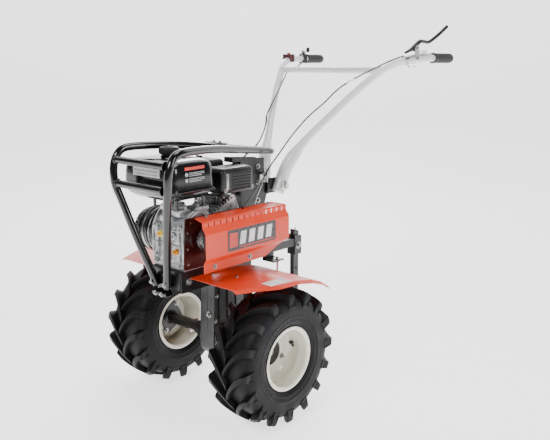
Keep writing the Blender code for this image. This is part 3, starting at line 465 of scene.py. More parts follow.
def piece(name, bm, look, body="chassis", slot=None, replaces="", angle=35, bevel=0.0, ride=True):
    """Makes one piece of a bmesh with its material and the body it rides on."""
    bmesh.ops.recalc_face_normals(bm, faces=bm.faces)
    for vert in bm.verts:
        vert.co /= 1000
    mesh = bpy.data.meshes.new(name)
    bm.to_mesh(mesh)
    bm.free()
    obj = added(name, mesh)
    obj.location = SHIFT
    mesh.materials.append(look)
    mesh.shade_smooth()
    mesh.set_sharp_from_angle(angle=radians(angle))
    if bevel:
        soften(obj, bevel, 40)
    slot = SLOTS[look] if slot is None else slot
    if ride:
        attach(obj, body)
    if replaces:
        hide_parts(replaces)
    return obj


def plate(name, look, *shape, **options):
    """A piece that is one block."""
    bm = bmesh.new()
    block(bm, *shape, **options)
    piece(name, bm, look)


def cut_out(obj, name, bm, look):
    """Takes a bmesh out of a piece and keeps the result, with its modifiers, as the piece's own mesh."""
    tool = piece(name, bm, look, slot="")
    cut = obj.modifiers.new("cut", "BOOLEAN")
    cut.object = tool
    cut.solver = "EXACT"
    bpy.context.view_layer.update()
    graph = bpy.context.evaluated_depsgraph_get()
    mesh = bpy.data.meshes.new_from_object(obj.evaluated_get(graph))
    obj.modifiers.clear()
    obj.data = mesh
    mesh.shade_smooth()
    mesh.set_sharp_from_angle(angle=radians(32))
    bpy.data.objects.remove(tool, do_unlink=True)


def dress(node, look, bevel=0.0, angle=35):
    """Gives a CAD node its material and, where asked, softened edges."""
    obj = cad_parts[node]
    obj.data.materials.clear()
    obj.data.materials.append(look)
    if bevel:
        mod = obj.modifiers.new("weld", "WELD")
        mod.merge_threshold = 0.00002
        soften(obj, bevel, angle)


def spokes(count, start=0.0):
    """Directions spaced evenly round the X axis, each with the one that runs on along the circle."""
    for n in range(count):
        angle = 2 * pi * n / count + start
        yield Vector((0, cos(angle), sin(angle))), Vector((0, -sin(angle), cos(angle)))


def mirrored(points):
    return [(-x, y, z) for x, y, z in points]


# ---- CAD nodes that keep their own mesh: material, edge softening, names ----
CAD_LOOKS = [(TURNED, 0.6, "axle"), (IRON, 0.8, "flywheel"), (BELT, 0.6, "drive_belt"),
    (ZINC, 0.6, "idler_arm"), (PLASTIC, 0.6, "idler_roller choke_lever"), (GUARD, 0.5, "belt_guard"),
    (BLACK, 1.2, "bumper_foot"), (SATIN, 1.2, "engine_bed drawbar"),
    (SATIN, 1, "handle_column pivot_bracket"), (SATIN, 0, "coulter"), (ZINC, 0.8, "pivot_bolt"),
    (ALLOY, 1.4, "crankcase"), (ALLOY, 0.8, "cylinder"), (ALLOY_CLEAN, 2, "valve_cover"),
    (ALLOY_CLEAN, 1, "carburettor"), (AMBER, 0.6, "oil_plug"), (YELLOW, 0.6, "dipstick"),
    (SATIN, 1.5, "blower_housing"), (BLACK, 1.5, "recoil_housing"), (ZINC, 0.4, "throttle_arm"),
    (PLASTIC, 0.8, "throttle_clamp"), (MAROON, 1, "stop_switch"), (RED, 0.6, "stop_button"),
    (ZINC, 0.5, "cable_stop"), (TURNED, 0.5, "engine_pulley input_pulley crankshaft")]


def dress_nodes():
    for look, bevel, names in CAD_LOOKS:
        for node in names.split():
            dress(node, look, bevel)


# ---- wheels ----
LUGS = 16
LUG_TIP = AXLE_Z
CARCASS = [(116.5, 74.2), (121, 77.8), (130, 81.5), (133, 83.3), (136, 83), (147, 85.2), (150, 86.6),
    (153, 85.8), (165, 86.8), (180, 86.2), (195, 83.5), (206, 76.5), (213, 64), (216.5, 45), (218, 20),
    (218.5, 0)]
CARCASS_INSIDE = [(208, 0), (206, 50), (196, 73), (170, 77.5), (130, 70), (108, 64), (103, 68), (103, 73.5)]


def lug(bm, centre, sign, start):
    """One chevron bar: from the tread's middle out over the shoulder and a little down the sidewall."""
    stations = []
    for n in range(9):
        share = n / 8
        across = -6 + 89.5 * share
        lead = 0.4 * (1 - (1 - share) ** 1.7)
        crown = LUG_TIP - 10 * (across / 88.5) ** 4
        base = 217.5 - 19.5 * max(0, across / 88.5) ** 4
        stations.append((across, crown, base, lead, 8.5 + 3 * share, 12 + 4 * share))
    stations.append((87.6, 224, 190, 0.404, 11.8, 16))

    def section(across, turn, half_outline):
        """Six points at (radius, half width), the second three mirrored, bent round the axle."""
        whole = [(r, -half) for r, half in half_outline] + list(reversed(half_outline))
        angles = [(r, start + turn + half / r) for r, half in whole]
        return [centre + Vector((sign * across, -r * cos(angle), r * sin(angle))) for r, angle in angles]

    rings = [section(across, lead, [(base, foot), (crown - 4, top + 1.2), (crown, top)]) for across, crown,
        base, lead, top, foot in stations]
    rings.append(section(88.4, 0.406, [(187, 15.5), (206, 13.2), (217.5, 11.8)]))
    rings.append(section(85, 0.408, [(181, 15), (190, 14), (200, 12.5)]))
    work = bmesh.new()
    loft(work, rings)
    add(bm, work)


def tyre(side, sign):
    centre = Vector((sign * 277.5, 0, AXLE_Z))
    bm = bmesh.new()
    outer = CARCASS + flipped(CARCASS[:-1])
    inner = flipped(CARCASS_INSIDE[1:]) + CARCASS_INSIDE
    ring(bm, outer + inner, centre, X, 128)
    for n in range(LUGS):
        step = 2 * pi * n / LUGS
        lug(bm, centre, 1, step)
        lug(bm, centre, -1, step + pi / LUGS)
    for flank in (1, -1):
        for out, across in spokes(48):
            at = centre + X * flank * 81.5
            sweep(bm, [at + out * 138.5 - across * 1, at + out * 138.5 + X * flank * 2 + across * 1, at +
                out * 144.5 + X * flank * 3.6], 1.2, 5)
    piece(side + "_tyre_tread", bm, TYRE, "wheels", replaces=side + "_tyre", angle=30, bevel=1.2)


RIM_FLANGE = [(114, 77), (113.2, 78.2), (111.8, 78.8), (108.5, 78.6), (105, 77.8), (101.5, 76.4),
    (99.2, 74.2), (98.4, 70)]
RIM_DISC = [(98.2, 56), (97.8, 50), (95.5, 44), (94.5, 38), (94.3, 26), (93.5, 17), (90.5, 9), (86, 3),
    (80, -1.5), (74, -3.5), (69, -4), (56, -4), (49, -3), (46.2, -3.4), (45, -5.2), (45.2, -7.5),
    (54, -7.8), (70, -7.8), (79, -5.5), (87, 0.5), (93, 8.5), (97.8, 8), (98.4, 2)]
RIM_INSIDE = [(101.2, 70), (101.8, 74), (105, 75.4), (112.8, 75.8)]


def flipped(profile):
    """A (radius, height) profile's mirror image below height 0, in the order that carries it on."""
    return [(r, -h) for r, h in reversed(profile)]


def rim(side, sign):
    centre = Vector((sign * 277.5, 0, AXLE_Z))
    out = X * sign
    bm = bmesh.new()
    ring(bm, RIM_FLANGE + RIM_DISC + flipped(RIM_FLANGE) + flipped(RIM_INSIDE) + RIM_INSIDE, centre, out,
        96)
    piece(side + "_rim_shell", bm, CREAM, "wheels", replaces=side + "_rim", angle=50)
    bm = bmesh.new()
    for spoke, _ in spokes(4, radians(62)):
        spoke *= 57.5
        hex_bolt(bm, centre + out * -4 + spoke, out, 10.5, 7.5)
        lathe(bm, [(3.8, 6), (3.8, 13.5), (3, 14.5)], centre + out * -4 + spoke, out, 12)
        hex_bolt(bm, centre + out * -14.1 + spoke, -out, 10.5)
    piece(side + "_wheel_bolts", bm, BOLT, "wheels")
    bm = bmesh.new()
    angle = radians(10)
    spoke = Vector((0, cos(angle), sin(angle)))
    foot = centre + spoke * 90.5 + out * 10
    tip = centre + spoke * 76 + out * 30
    lathe(bm, [(8.5, -2), (7.5, 3), (4.5, 10), (3.8, 18), (4.2, 19), (4.2, 26), (3.4, 28)], foot, tip -
        foot, 20)
    piece(side + "_valve", bm, PLASTIC, "wheels")


def hub(side, sign):
    out = X * sign
    centre = Vector((0, 0, AXLE_Z))
    dress(side + "_hub", SATIN, 1.5)
    bm = bmesh.new()
    ring(bm, [(21.2, 259), (28.5, 263.4), (21.2, 263.4)], centre, out, 40)
    ring(bm, [(21.2, 84), (26.2, 84), (26.8, 86), (26.8, 98), (26.2, 100), (21.2, 100)], centre, out, 40)
    piece(side + "_hub_collar", bm, SATIN, "wheels", bevel=0.6)
    bm = bmesh.new()
    pin = centre + out * 128
    lean = Vector((0, cos(0.7), sin(0.7)))
    hex_bolt(bm, pin + lean * 20.8, lean, 13)
    hex_bolt(bm, pin - lean * 20.8, -lean, 13)
    lathe(bm, [(12, 266.5), (12, 271.5), (10.5, 272.5)], centre, out, 32)
    piece(side + "_hub_fixings", bm, ZINC, "wheels")


def wheels():
    for side, sign in (("left", 1), ("right", -1)):
        tyre(side, sign)
        rim(side, sign)
        hub(side, sign)


# ---- gearbox and belt drive ----
CASE_EDGE = [(-36, 480), (-40, 400), (-45, 300), (-43, 215), (-10, 172), (40, 170), (77, 215), (112, 340),
    (143, 450), (149, 560), (150, 650), (118, 680), (70, 680), (46, 640), (42, 560)]


def gearbox():
    """The case keeps its shape; a joint flange, ribs and bolts go round it."""
    dress("gearbox", SATIN, 1.2, 30)
    bm = bmesh.new()
    edge = smooth_path([(0, y, z) for y, z in CASE_EDGE], 4)
    sweep(bm, edge, 6, 8, [0.4] * len(edge), pi / 8)
    for sign in (1, -1):
        for y in (-20, 22, 64):
            block(bm, (sign * 36 - 4, y - 3, 250), (sign * 36 + 4, y + 3, 450), 1, 1)
        ring(bm, [(36, 35.5), (49, 35.5), (48, 42), (45, 44), (40, 46), (36, 74)], (0, 0, AXLE_Z), X *
            sign, 48)
    piece("gearbox_flange", bm, SATIN, slot="gear_case_paint", angle=40)
    bm = bmesh.new()
    for y, z in CASE_EDGE:
        inward = Vector((0, 35 - y, 420 - z)).normalized() * 9
        for sign in (1, -1):
            hex_bolt(bm, Vector((sign * 36.2, y, z)) + inward, X * sign, 8.5)
    for out, _ in spokes(6, 0.3):
        for sign in (1, -1):
            hex_bolt(bm, Vector((sign * 43.5, 0, AXLE_Z)) + out * 43, X * sign, 7)
    hex_bolt(bm, (10, -47.5, 330), -Y, 12, 8)
    piece("gearbox_bolts", bm, BOLT)


def belt_drive():
    bm = bmesh.new()
    at = (0, CRANK.y, CRANK.z)
    lathe(bm, [(15, 166.2), (15, 169), (14, 170)], at, X, 28)
    hex_bolt(bm, (170, CRANK.y, CRANK.z), X, 14, 8, washer=False)
    ring(bm, [(38.5, 160), (40, 160), (41.5, 161.5), (41.5, 163.5), (38.5, 163.5)], at, X, 48)
    ring(bm, [(20, 160), (24, 160), (23, 166), (20, 166)], at, X, 40)
    piece("pulley_face", bm, ZINC, "crank", bevel=0.4)
    bm = bmesh.new()
    hex_bolt(bm, (158, 100, 630), X, 17, 9)
    for out, _ in spokes(5):
        lathe(bm, [(5.5, 0), (5.5, 1.2)], Vector((150, 100, 630)) + out * 36, X, 20)
    piece("input_pulley_face", bm, DARK_METAL, "input_shaft")


COVER = [(116, 731.5), (186, 731.5), (186, 712.5), (201, 695), (201, 608), (190, 595), (190, 562)]


def rounded_line(points, radius, steps=4):
    """An open outline with its corners rounded by arcs."""
    line = [Vector(points[0])]
    for a, b, c in zip(points, points[1:], points[2:]):
        a, b, c = Vector(a), Vector(b), Vector(c)
        reach = min(radius, (a - b).length * 0.45, (c - b).length * 0.45)
        first, last = b + (a - b).normalized() * reach, b + (c - b).normalized() * reach
        for n in range(steps + 1):
            t = n / steps
            line.append(first * (1 - t) ** 2 + b * 2 * t * (1 - t) + last * t ** 2)
    line.append(Vector(points[-1]))
    return line


def cover():
    """Bent sheet with rounded folds; its row of slots and the cable's hole are cut through."""
    line = rounded_line(COVER, 4.5)
    bm = bmesh.new()
    rows = []
    for y in (-232, 30, 175):
        rows.append([bm.verts.new((p.x, y, p.y)) for p in line])
    for first, second in zip(rows, rows[1:]):
        for n in range(len(line) - 1):
            bm.faces.new((first[n], first[n + 1], second[n + 1], second[n]))
    for vert in rows[2]:
        if vert.co.z < 612:
            vert.co.y = 30 + (vert.co.z - 550) / 62 * 145
    sheet = piece("belt_cover_sheet", bm, ORANGE, replaces="belt_cover")
    thick = sheet.modifiers.new("sheet", "SOLIDIFY")
    thick.thickness = 2 / 1000
    thick.offset = 0
    bm = bmesh.new()
    for n in range(14):
        y = -206.5 + 27.6 * n
        block(bm, (174, y - 2.4, 713.5), (195, y + 2.4, 728.5), 1.8, 2, edges=0)
    lathe(bm, [(6.5, 0), (6.5, 30)], (127, 12, 718), Z, 24)
    prism(bm, [(100, -240), (183, -240), (183, -231), (100, -197)], 728, 738, "Z")
    cut_out(sheet, "slot_cutter", bm, ORANGE)
    bm = bmesh.new()
    hex_bolt(bm, (191.2, -20, 578), X, 9)
    hex_bolt(bm, (191.2, -185, 578), X, 9)
    for y in (-165, 140):
        hex_bolt(bm, (130, y, 732.6), Z, 8.5)
    piece("cover_bolts", bm, BOLT)
    plate("cover_label", PRINT, (202.2, -135, 619), (202.8, 102, 690), 4, 3, edges=0)
    bm = bmesh.new()
    block(bm, (202.7, -127, 630), (203.2, -90, 679), 3, 3, edges=0)
    block(bm, (202.7, -80, 625.5), (203.2, 94, 628.5), 1, 2, edges=0)
    piece("cover_label_red", bm, PRINT_RED)
    bm = bmesh.new()
    for n in range(4):
        y = -80 + 43 * n
        prism(bm, [(y, 635), (y + 27, 635), (y + 34, 679), (y + 7, 679)], 202.7, 203.2, "X")
    piece("cover_label_white", bm, PAPER)
    bm = bmesh.new()
    block(bm, (130, 110, 525), (185, 170, 530), 1, 1)
    block(bm, (130, 110, 525), (134, 170, 570), 1, 1)
    block(bm, (90, 120, 556), (134, 160, 562), 1, 1)
    piece("cover_rear_bracket", bm, SATIN)
    bm = bmesh.new()
    lathe(bm, [(4, 0), (4, 52), (3, 54)], (168, 150, 486), Z, 16)
    hex_bolt(bm, (168, 150, 530), Z, 12)
    hex_bolt(bm, (168, 150, 525), -Z, 12)
    piece("cover_rear_pin", bm, ZINC)


# ---- frame ----
BUMPER = [(28, -253.5, 486), (40, -262, 530), (78, -290, 650), (118, -317, 780), (136, -328, 838),
    (140.5, -326.5, 890), (140.5, -315, 924), (138, -296, 945), (134, -265, 953), (120, -195, 953),
    (98, -85, 947), (72, 45, 932), (48, 165, 917), (39, 220, 909), (35, 250, 905), (27, 272, 902),
    (15, 284, 900), (0.6, 284, 900)]


def bumper():
    for side, route in (("left", BUMPER), ("right", mirrored(BUMPER))):
        bm = bmesh.new()
        sweep(bm, smooth_path(route, 4), 13.5, 24)
        piece(side + "_bumper_hoop", bm, BLACK, slot="bumper_paint", replaces=side + "_bumper_tube", angle=60)
    for name, y, z, reach in (("upper", -323.5, 916, 126.2), ("lower", -328.5, 838, 118.5)):
        bm = bmesh.new()
        sweep(bm, smooth_path([(-reach, y, z), (-reach * 0.5, y, z), (0, y, z), (reach * 0.5, y, z),
            (reach, y, z)], 4), 12.5, 24)
        for sign in (1, -1):
            place = Vector((sign * (reach - 0.5), y, z))
            ring(bm, [(12, 0), (15.2, 0.5), (16.5, 3.5), (12, 3.5)], place - X * sign * 3, X * sign, 28)
        piece(name + "_cross_tube", bm, BLACK, slot="bumper_paint", replaces="bumper_" + name + "_bar",
            angle=60)
    bm = bmesh.new()
    plate = [(-26, 5), (26, 5), (22, 30), (-22, 30)]
    prism(bm, [(x * 1.9, y) for x, y in plate], 952, 955.5, "Z")
    piece("hoop_plate", bm, SATIN, bevel=0.8)
    bm = bmesh.new()
    for x in (-16, 16):
        hex_bolt(bm, (x, 17, 955.6), Z, 8)
        hex_bolt(bm, (x, -270.5, 463.5), -Y, 8.5)
    for sign in (1, -1):
        hex_bolt(bm, (sign * 34, -272.5, 500), (sign * 0.3, -1, 0), 8.5)
    piece("hoop_bolts", bm, BOLT)


def bed_and_column():
    bm = bmesh.new()
    for y in (-208, -100):
        for x in (-64, 66):
            hex_bolt(bm, (x, y, 560), Z, 10.5)
    for y in (-200, -120, -40):
        for sign in (1, -1):
            hex_bolt(bm, (sign * 78.2, y, 505), X * sign, 12.5)
    for z in (720, 790, 850):
        hex_bolt(bm, (22.2, 205, z), X, 10.5)
        hex_bolt(bm, (-22.2, 205, z), -X, 10.5)
    hex_bolt(bm, (21.2, 446, 498.5), X, 15)
    hex_bolt(bm, (-21.2, 446, 498.5), -X, 15)
    for y in (240, 300):
        hex_bolt(bm, (0, y, 530), Z, 10)
    piece("frame_bolts", bm, BOLT)
    bm = bmesh.new()
    for sign in (1, -1):
        block(bm, (sign * 29 - 2.5, 248, 742), (sign * 29 + 2.5, 300, 800), 1.2, 2)
        for n in range(7):
            angle = radians(150 + 18 * n)
            y, z = 276 + 26 * cos(angle), 771 + 26 * sin(angle)
            block(bm, (sign * 29 - 2.5, y - 3, z - 3), (sign * 29 + 2.5, y + 3, z + 3), 1, 1)
    prism(bm, [(425, 540), (433, 548), (439, 577), (425, 556)], 12, 15, "X")
    piece("tooth_plates", bm, SATIN)


FENDER_ROWS = [(-200, 300, 520), (-130, 335, 520.5), (-60, 370, 519), (30, 370, 514), (110, 370, 499),
    (165, 370, 480), (205, 370, 455)]


def fender_height(y):
    for (y0, _, z0), (y1, _, z1) in zip(FENDER_ROWS, FENDER_ROWS[1:]):
        if y <= y1:
            return z0 + (z1 - z0) * (y - y0) / (y1 - y0)
    return FENDER_ROWS[-1][2]


def label_on_fender(name, look, x0, x1, y0, y1):
    bm = bmesh.new()
    top, under = [], []
    for n in range(9):
        y = y0 + (y1 - y0) * n / 8
        z = fender_height(y)
        top.append([(x0, y, z + 0.7), (x1, y, z + 0.7)])
        under.append([(x1, y, z + 0.1), (x0, y, z + 0.1)])
    loft(bm, [a + b for a, b in zip(top, under)])
    piece(name, bm, look, slot="white_paint")


def fenders():
    bm = bmesh.new()
    for side, sign in (("left", 1), ("right", -1)):
        dress(side + "_fender", ORANGE, 0.8, 12)
        for x, y in ((110, -120), (110, 85), (190, -85)):
            lathe(bm, [(6.8, 0), (6.4, 1.2), (4.5, 2.6), (1.4, 3.1)], (sign * x, y, fender_height(y)), Z,
                20)
    piece("fender_screws", bm, BOLT)
    label_on_fender("fender_label", PAPER, 304, 350, -85, -10)
    label_on_fender("fender_label_dark", PRINT_GREY, 304, 350, -10, 12)
    bm = bmesh.new()
    for sign in (1, -1):
        for y in (-100, 60):
            block(bm, (min(sign * 80, sign * 130), y, 495), (max(sign * 80, sign * 130), y + 26, 499), 1, 1)
            block(bm, (sign * 128 - 2, y, 495), (sign * 128 + 2, y + 26, fender_height(y + 13) - 3.5), 1, 1)
    piece("fender_brackets", bm, SATIN)


# ---- engine ----
# Round bosses on the crankcase front, (x, z, radius, height): two for oil, then those with a bolt.
FRONT_BOSSES = [(52, 611, 16.5, 4), (-28, 662, 15.5, 4), (-52, 590, 12, 7), (70, 690, 10, 8),
    (-56, 692, 10, 8), (36, 662, 13, 10), (2, 694, 9, 9), (74, 566, 9, 9), (-58, 566, 9, 9)]
TOP_BOSSES = [(60, -140), (30, -120), (-50, -150), (50, -185)]


def engine_block():
    """Ribs, bosses, flanges and bolts over the plain crankcase, most of them on its front and left faces."""
    front = -223
    bm = bmesh.new()
    for x, z, r, out in FRONT_BOSSES:
        lathe(bm, [(r * 1.18, -4), (r, out * 0.7), (r * 0.93, out), (r * 0.62, out), (r * 0.6, out - 1.5)],
            (x, front, z), -Y, 28)
    for x in (-44, -6, 18, 66):
        block(bm, (x - 1.8, front - 7, 575), (x + 1.8, front + 2, 690), 1, 2)
    for z in (630, 682):
        block(bm, (-70, front - 6, z - 1.8), (80, front + 2, z + 1.8), 1, 2)
    sweep(bm, smooth_path([(79, front - 1, 560), (81, front - 2, 600), (81, front - 2, 670),
        (79, -214, 706), (79, -196, 732), (79, -172, 744)], 4), 4.8, 10)
    sweep(bm, smooth_path([(-70, front - 1, 560), (-72, front - 2, 600), (-72, front - 2, 670),
        (-70, -214, 706), (-70, -196, 732), (-70, -172, 744)], 4), 4.2, 10)
    block(bm, (-30, -230, 705), (30, -195, 728), 5, 3)
    block(bm, (-6, -218, 726), (60, -165, 752), 6, 3)
    block(bm, (20, -160, 738), (76, -98, 756), 5, 3)
    block(bm, (-64, -200, 736), (-20, -120, 758), 5, 3)
    for x, y in TOP_BOSSES:
        lathe(bm, [(9.5, 0), (8, 12), (6, 13)], (x, y, 748), Z, 24)
    piece("crankcase_ribs", bm, ALLOY, bevel=0.7)
    bm = bmesh.new()
    side = 84.5
    rim_points = [(-214, 566), (-216, 620), (-216, 680), (-200, 712), (-172, 734), (-130, 734), (-96, 690),
        (-92, 620), (-92, 566)]
    loop = smooth_path([(side, y, z) for y, z in rim_points], 4)
    sweep(bm, loop, 5.2, 8, [0.6] * len(loop))
    for out, _ in spokes(12):
        sweep(bm, [Vector((85, CRANK.y, CRANK.z)) + out * 33, Vector((84.5, CRANK.y, CRANK.z)) + out * 55],
            1.8, 6)
    piece("side_cover_ribs", bm, ALLOY_CLEAN, bevel=0.5)
    bm = bmesh.new()
    for y, z in rim_points:
        lean = Vector((0, CRANK.y - y, 650 - z)).normalized() * 4
        hex_bolt(bm, Vector((side + 1, y, z)) + lean, X, 8, 5)
    for x, z, _, _ in FRONT_BOSSES[2:]:
        hex_bolt(bm, (x, front - 7.8, z), -Y, 8.5, 5.5, washer=False)
    for x, y in TOP_BOSSES:
        hex_bolt(bm, (x, y, 760.5), Z, 8.5, 5.5, washer=False)
    piece("engine_bolts", bm, BOLT)
    bm = bmesh.new()
    for at in ((52, front - 14.5, 611), (-28, front - 12.5, 662)):
        grip = Vector(at)
        block(bm, grip + Vector((-8.5, -8, -3.5)), grip + Vector((8.5, 1, 3.5)), 2, 3)
    piece("oil_plug_wing", bm, AMBER)


def blower():
    centre = CRANK
    bm = bmesh.new()
    for height in (-82, -112, -150):
        ring(bm, [(79.5, height), (83.7, height), (83.7, height + 3), (79.5, height + 3)], centre, X, 96)
    for n, (out, across) in enumerate(spokes(40)):
        start = centre + out * 70.2 - X * 168
        sweep(bm, [start, start - X * 10, start - X * 20], [2.2, 2.2, 1.6], 6)
        if n % 5 == 0:
            inner = centre + out * 58 - X * 200.5 + across * 3
            sweep(bm, [inner, centre + out * 44 - X * 202.5, centre + out * 30 - X * 203.5], 2, 6)
    lathe(bm, [(20, -203.5), (22, -204.5), (21, -206), (0, -207)], centre, X, 40)
    piece("recoil_ribs", bm, BLACK)
    bm = bmesh.new()
    for r, h, w in ((82.6, -98, 2.2), (82.6, -130, 2.2), (72.2, -166.2, 2.2)):
        ring(bm, [(r - w, h), (r, h + w), (r + w, h), (r, h - w)], centre, X, 96)
    for out, _ in spokes(3, 0.5):
        hex_bolt(bm, centre - X * 165.5 + out * 76.5, -X, 7)
    piece("recoil_trim", bm, ZINC)
    bm = bmesh.new()
    exit_at, along = Vector((-182, -73.5, 668)), Vector((0, 0.97, 0.243)).normalized()
    middle = exit_at + along * 26
    grip = [middle + X * (-36 + 72 * n / 12) for n in range(13)]
    sizes = [7.8, 9.6, 10, 9.2, 9.8, 9, 8.6, 9, 9.8, 9.2, 10, 9.6, 7.8]
    sweep(bm, grip, sizes, 20)
    lathe(bm, [(5.8, 0), (5, 4), (5.5, 14), (8.5, 20), (0, 22)], exit_at, along, 20)
    piece("starter_grip", bm, PLASTIC, "starter", replaces="starter_handle", angle=50)
    bm = bmesh.new()
    rope = [exit_at + along * (-20 + 22.5 * n / 10) for n in range(11)]
    sweep(bm, rope, 2, 8)
    cord = piece("starter_rope", bm, CABLE, None, ride=False)
    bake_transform(cord)
    bm = bmesh.new()
    ring(bm, [(3, -4), (9, -4), (8.5, -1), (3, -0.5)], exit_at, along, 24)
    piece("rope_guide", bm, PLASTIC)


def rounded_ring(half_x, half_y, r, z, steps=6):
    ring = []
    for cx, cy, start in ((1, 1, 0), (-1, 1, 90), (-1, -1, 180), (1, -1, 270)):
        for n in range(steps + 1):
            angle = radians(start + 90 * n / steps)
            ring.append((-38 + cx * (half_x - r) + r * cos(angle), -175 + cy * (half_y - r) + r *
                sin(angle), z))
    return ring


TANK_LEVELS = [(780, 65, 28), (780.6, 53, 30), (783.5, 39, 34), (788, 29, 36), (798, 17, 36),
    (808, 9.5, 34), (812.5, 6.5, 34), (814.5, 5.5, 34), (815, 0.8, 36), (816.6, 0, 36), (818.4, 0, 36),
    (820, 0.8, 36), (820.6, 5.2, 34), (824, 5.8, 34), (850, 6.5, 34), (880, 8, 34), (894, 10.2, 34),
    (904, 15, 34), (911, 23, 34), (915.5, 35, 34), (917.5, 49, 34), (918, 73, 28)]


def tank():
    bm = bmesh.new()
    loft(bm, [rounded_ring(135 - inset, 110 - inset, r, z) for z, inset, r in TANK_LEVELS])
    piece("tank_shell", bm, BLACK, replaces="fuel_tank", angle=50)
    bm = bmesh.new()
    place = Vector((-50, -162, 917.8))
    ring(bm, [(21, 0), (30, 0), (31, 1.5), (28.5, 3.5), (27.5, 8.5), (26.5, 8.5), (26.2, 3), (21, 1)],
        place, Z, 48)
    piece("filler_neck", bm, BLACK)
    bm = bmesh.new()
    profile = [(0, 35.5), (20, 35.2), (21.5, 33.8), (29, 33), (31.8, 31.2), (33, 28.5), (33.6, 12),
        (32.5, 9.5), (29, 8.8), (0, 8.8)]
    lathe(bm, profile, place, Z, 72)
    for spoke, _ in spokes(24):
        out = spoke.yzx
        sweep(bm, [place + out * 33.4 + Z * 12, place + out * 33.8 + Z * 20, place + out * 33.2 + Z * 29],
            [1.7, 1.9, 1.5], 8)
    for spoke, _ in spokes(6):
        out = spoke.yzx
        sweep(bm, [place + out * 6 + Z * 35.2, place + out * 19 + Z * 35.2], 1.4, 6)
    piece("cap_knurled", bm, PLASTIC, "cap", replaces="fuel_cap", angle=45)
    plate("tank_label", PAPER, (-98, -279.5, 864), (38, -277, 892), 1.5, 2, edges=1)
    bm = bmesh.new()
    for n in range(9):
        x = -90 + 13.5 * n
        block(bm, (x, -279.9, 880), (x + 9.5, -279.1, 887), 0.6, 1, edges=1)
    block(bm, (-90, -279.9, 869), (28, -279.1, 873), 0.6, 1, edges=1)
    piece("tank_label_print", bm, PRINT_GREY)
    plate("tank_notice_red", PRINT_RED, (86, -214, 887), (89, -128, 897), 1, 2, edges=0)
    bm = bmesh.new()
    for row in range(2):
        z = 873 - 19 * row
        lathe(bm, [(6.5, 0), (6.5, 1.2)], (89.4, -208, z), X, 20)
        for line in range(3):
            block(bm, (89, -197, z + 3.5 - 5 * line), (90.6, -130 - 12 * (line == 2), z + 5.8 - 5 * line),
                0.4, 1, edges=0)
    piece("tank_notice_lines", bm, PRINT_GREY)
    bm = bmesh.new()
    for x, y in ((88, -98), (-164, -98), (88, -252), (-164, -252)):
        block(bm, (x - 10, y - 12, 812), (x + 10, y + 12, 814.6), 0.8, 1)
        hex_bolt(bm, (x, y, 819.5), Z, 8.5, 5)
    for x, y in ((60, -110), (-80, -110), (40, -215), (-70, -215)):
        sweep(bm, [(x, y, 752), (x, y, 770), (x, y, 786)], 5.5, 12)
    piece("tank_mounts", bm, DARK_METAL, slot="black_paint")


def muffler():
    """Guard with rows of louvres, a bright strap at its front edge and the pipe's flange with its nuts."""
    bm = bmesh.new()
    low, high = Vector((2, -52, 784)), Vector((99, 104, 874))
    block(bm, low, high, 17, 5)
    guard = piece("muffler_guard", bm, SATIN, replaces="muffler", angle=45)
    bm = bmesh.new()
    for row in range(6):
        z = 799 + 10.5 * row
        block(bm, (93, -12, z), (102, 82, z + 4.8), 2, 2, edges=0)
        block(bm, (20, 98, z), (82, 107, z + 4.8), 2, 2, edges=1)
    for row in range(5):
        y = -15 + 20 * row
        block(bm, (22, y, 868), (80, y + 6, 877), 2.4, 2, edges=2)
    cut_out(guard, "louvre_cutter", bm, SATIN)
    bm = bmesh.new()
    for row in range(6):
        z = 799 + 10.5 * row
        block(bm, (94, -11, z + 3.5), (100.3, 81, z + 6.8), 1.2, 2)
    piece("muffler_louvres", bm, SATIN)
    plate("muffler_strap", BOLT, (96.6, -36, 800), (100.4, -25, 858), 1.4, 2)
    bm = bmesh.new()
    sweep(bm, smooth_path([(40, -12, 742), (40, -14, 756), (40, -14, 772), (40, -12, 790)], 5), 12, 24)
    block(bm, (14, -28, 770), (66, 0, 776), 3, 2)
    piece("exhaust_pipe", bm, DARK_METAL)
    bm = bmesh.new()
    for x in (21, 59):
        hex_bolt(bm, (x, -14, 776.2), Z, 11.5, 9)
        hex_bolt(bm, (x, -14, 769.8), -Z, 11.5, 7, washer=False)
    hex_bolt(bm, (99, -40, 798), X, 8)
    hex_bolt(bm, (99, 90, 798), X, 8)
    piece("exhaust_nuts", bm, BOLT)


def intake():
    bm = bmesh.new()
    low, high = Vector((-158, -55, 786)), Vector((-26, 82, 852))
    block(bm, low, high, 15, 5)
    block(bm, (-157.5, -54.5, 850), (-26.5, 81.5, 888), 16, 5)
    for n in range(6):
        y = -30 + 18 * n
        block(bm, (-158.6, y, 860), (-156, y + 6, 878), 1, 2)
    piece("filter_housing", bm, PLASTIC, replaces="air_filter", angle=45)
    bm = bmesh.new()
    lathe(bm, [(10, 0), (9, 6), (4, 8), (0, 8.5)], (-92, 13.5, 888), Z, 24)
    block(bm, (-108, 11, 893), (-76, 16, 901), 2.2, 3)
    piece("filter_wing_nut", bm, PLASTIC)
    bm = bmesh.new()
    arm_end, fixed_end = Vector((-73.8, -27, 756)), Vector((-73.8, -8, 764))
    spring(bm, arm_end, fixed_end, 2.4, 0.5, 8)
    coil = piece("governor_spring", bm, ZINC, None, ride=False)
    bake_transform(coil)
    bm = bmesh.new()
    lathe(bm, [(6, 0), (6, 10), (4.5, 12), (4.5, 22), (7.5, 26), (9, 46), (6, 50)], (-10, 64, 739.5),
        (0.1, 0.9, 0.42), 24)
    lead = smooth_path([(-6, 104, 757), (-20, 118, 740), (-50, 112, 700), (-70, 70, 680), (-85, 10, 690),
        (-88, -50, 700), (-84, -90, 705)], 5)
    sweep(bm, lead, 3.5, 12)
    piece("spark_lead", bm, CABLE)


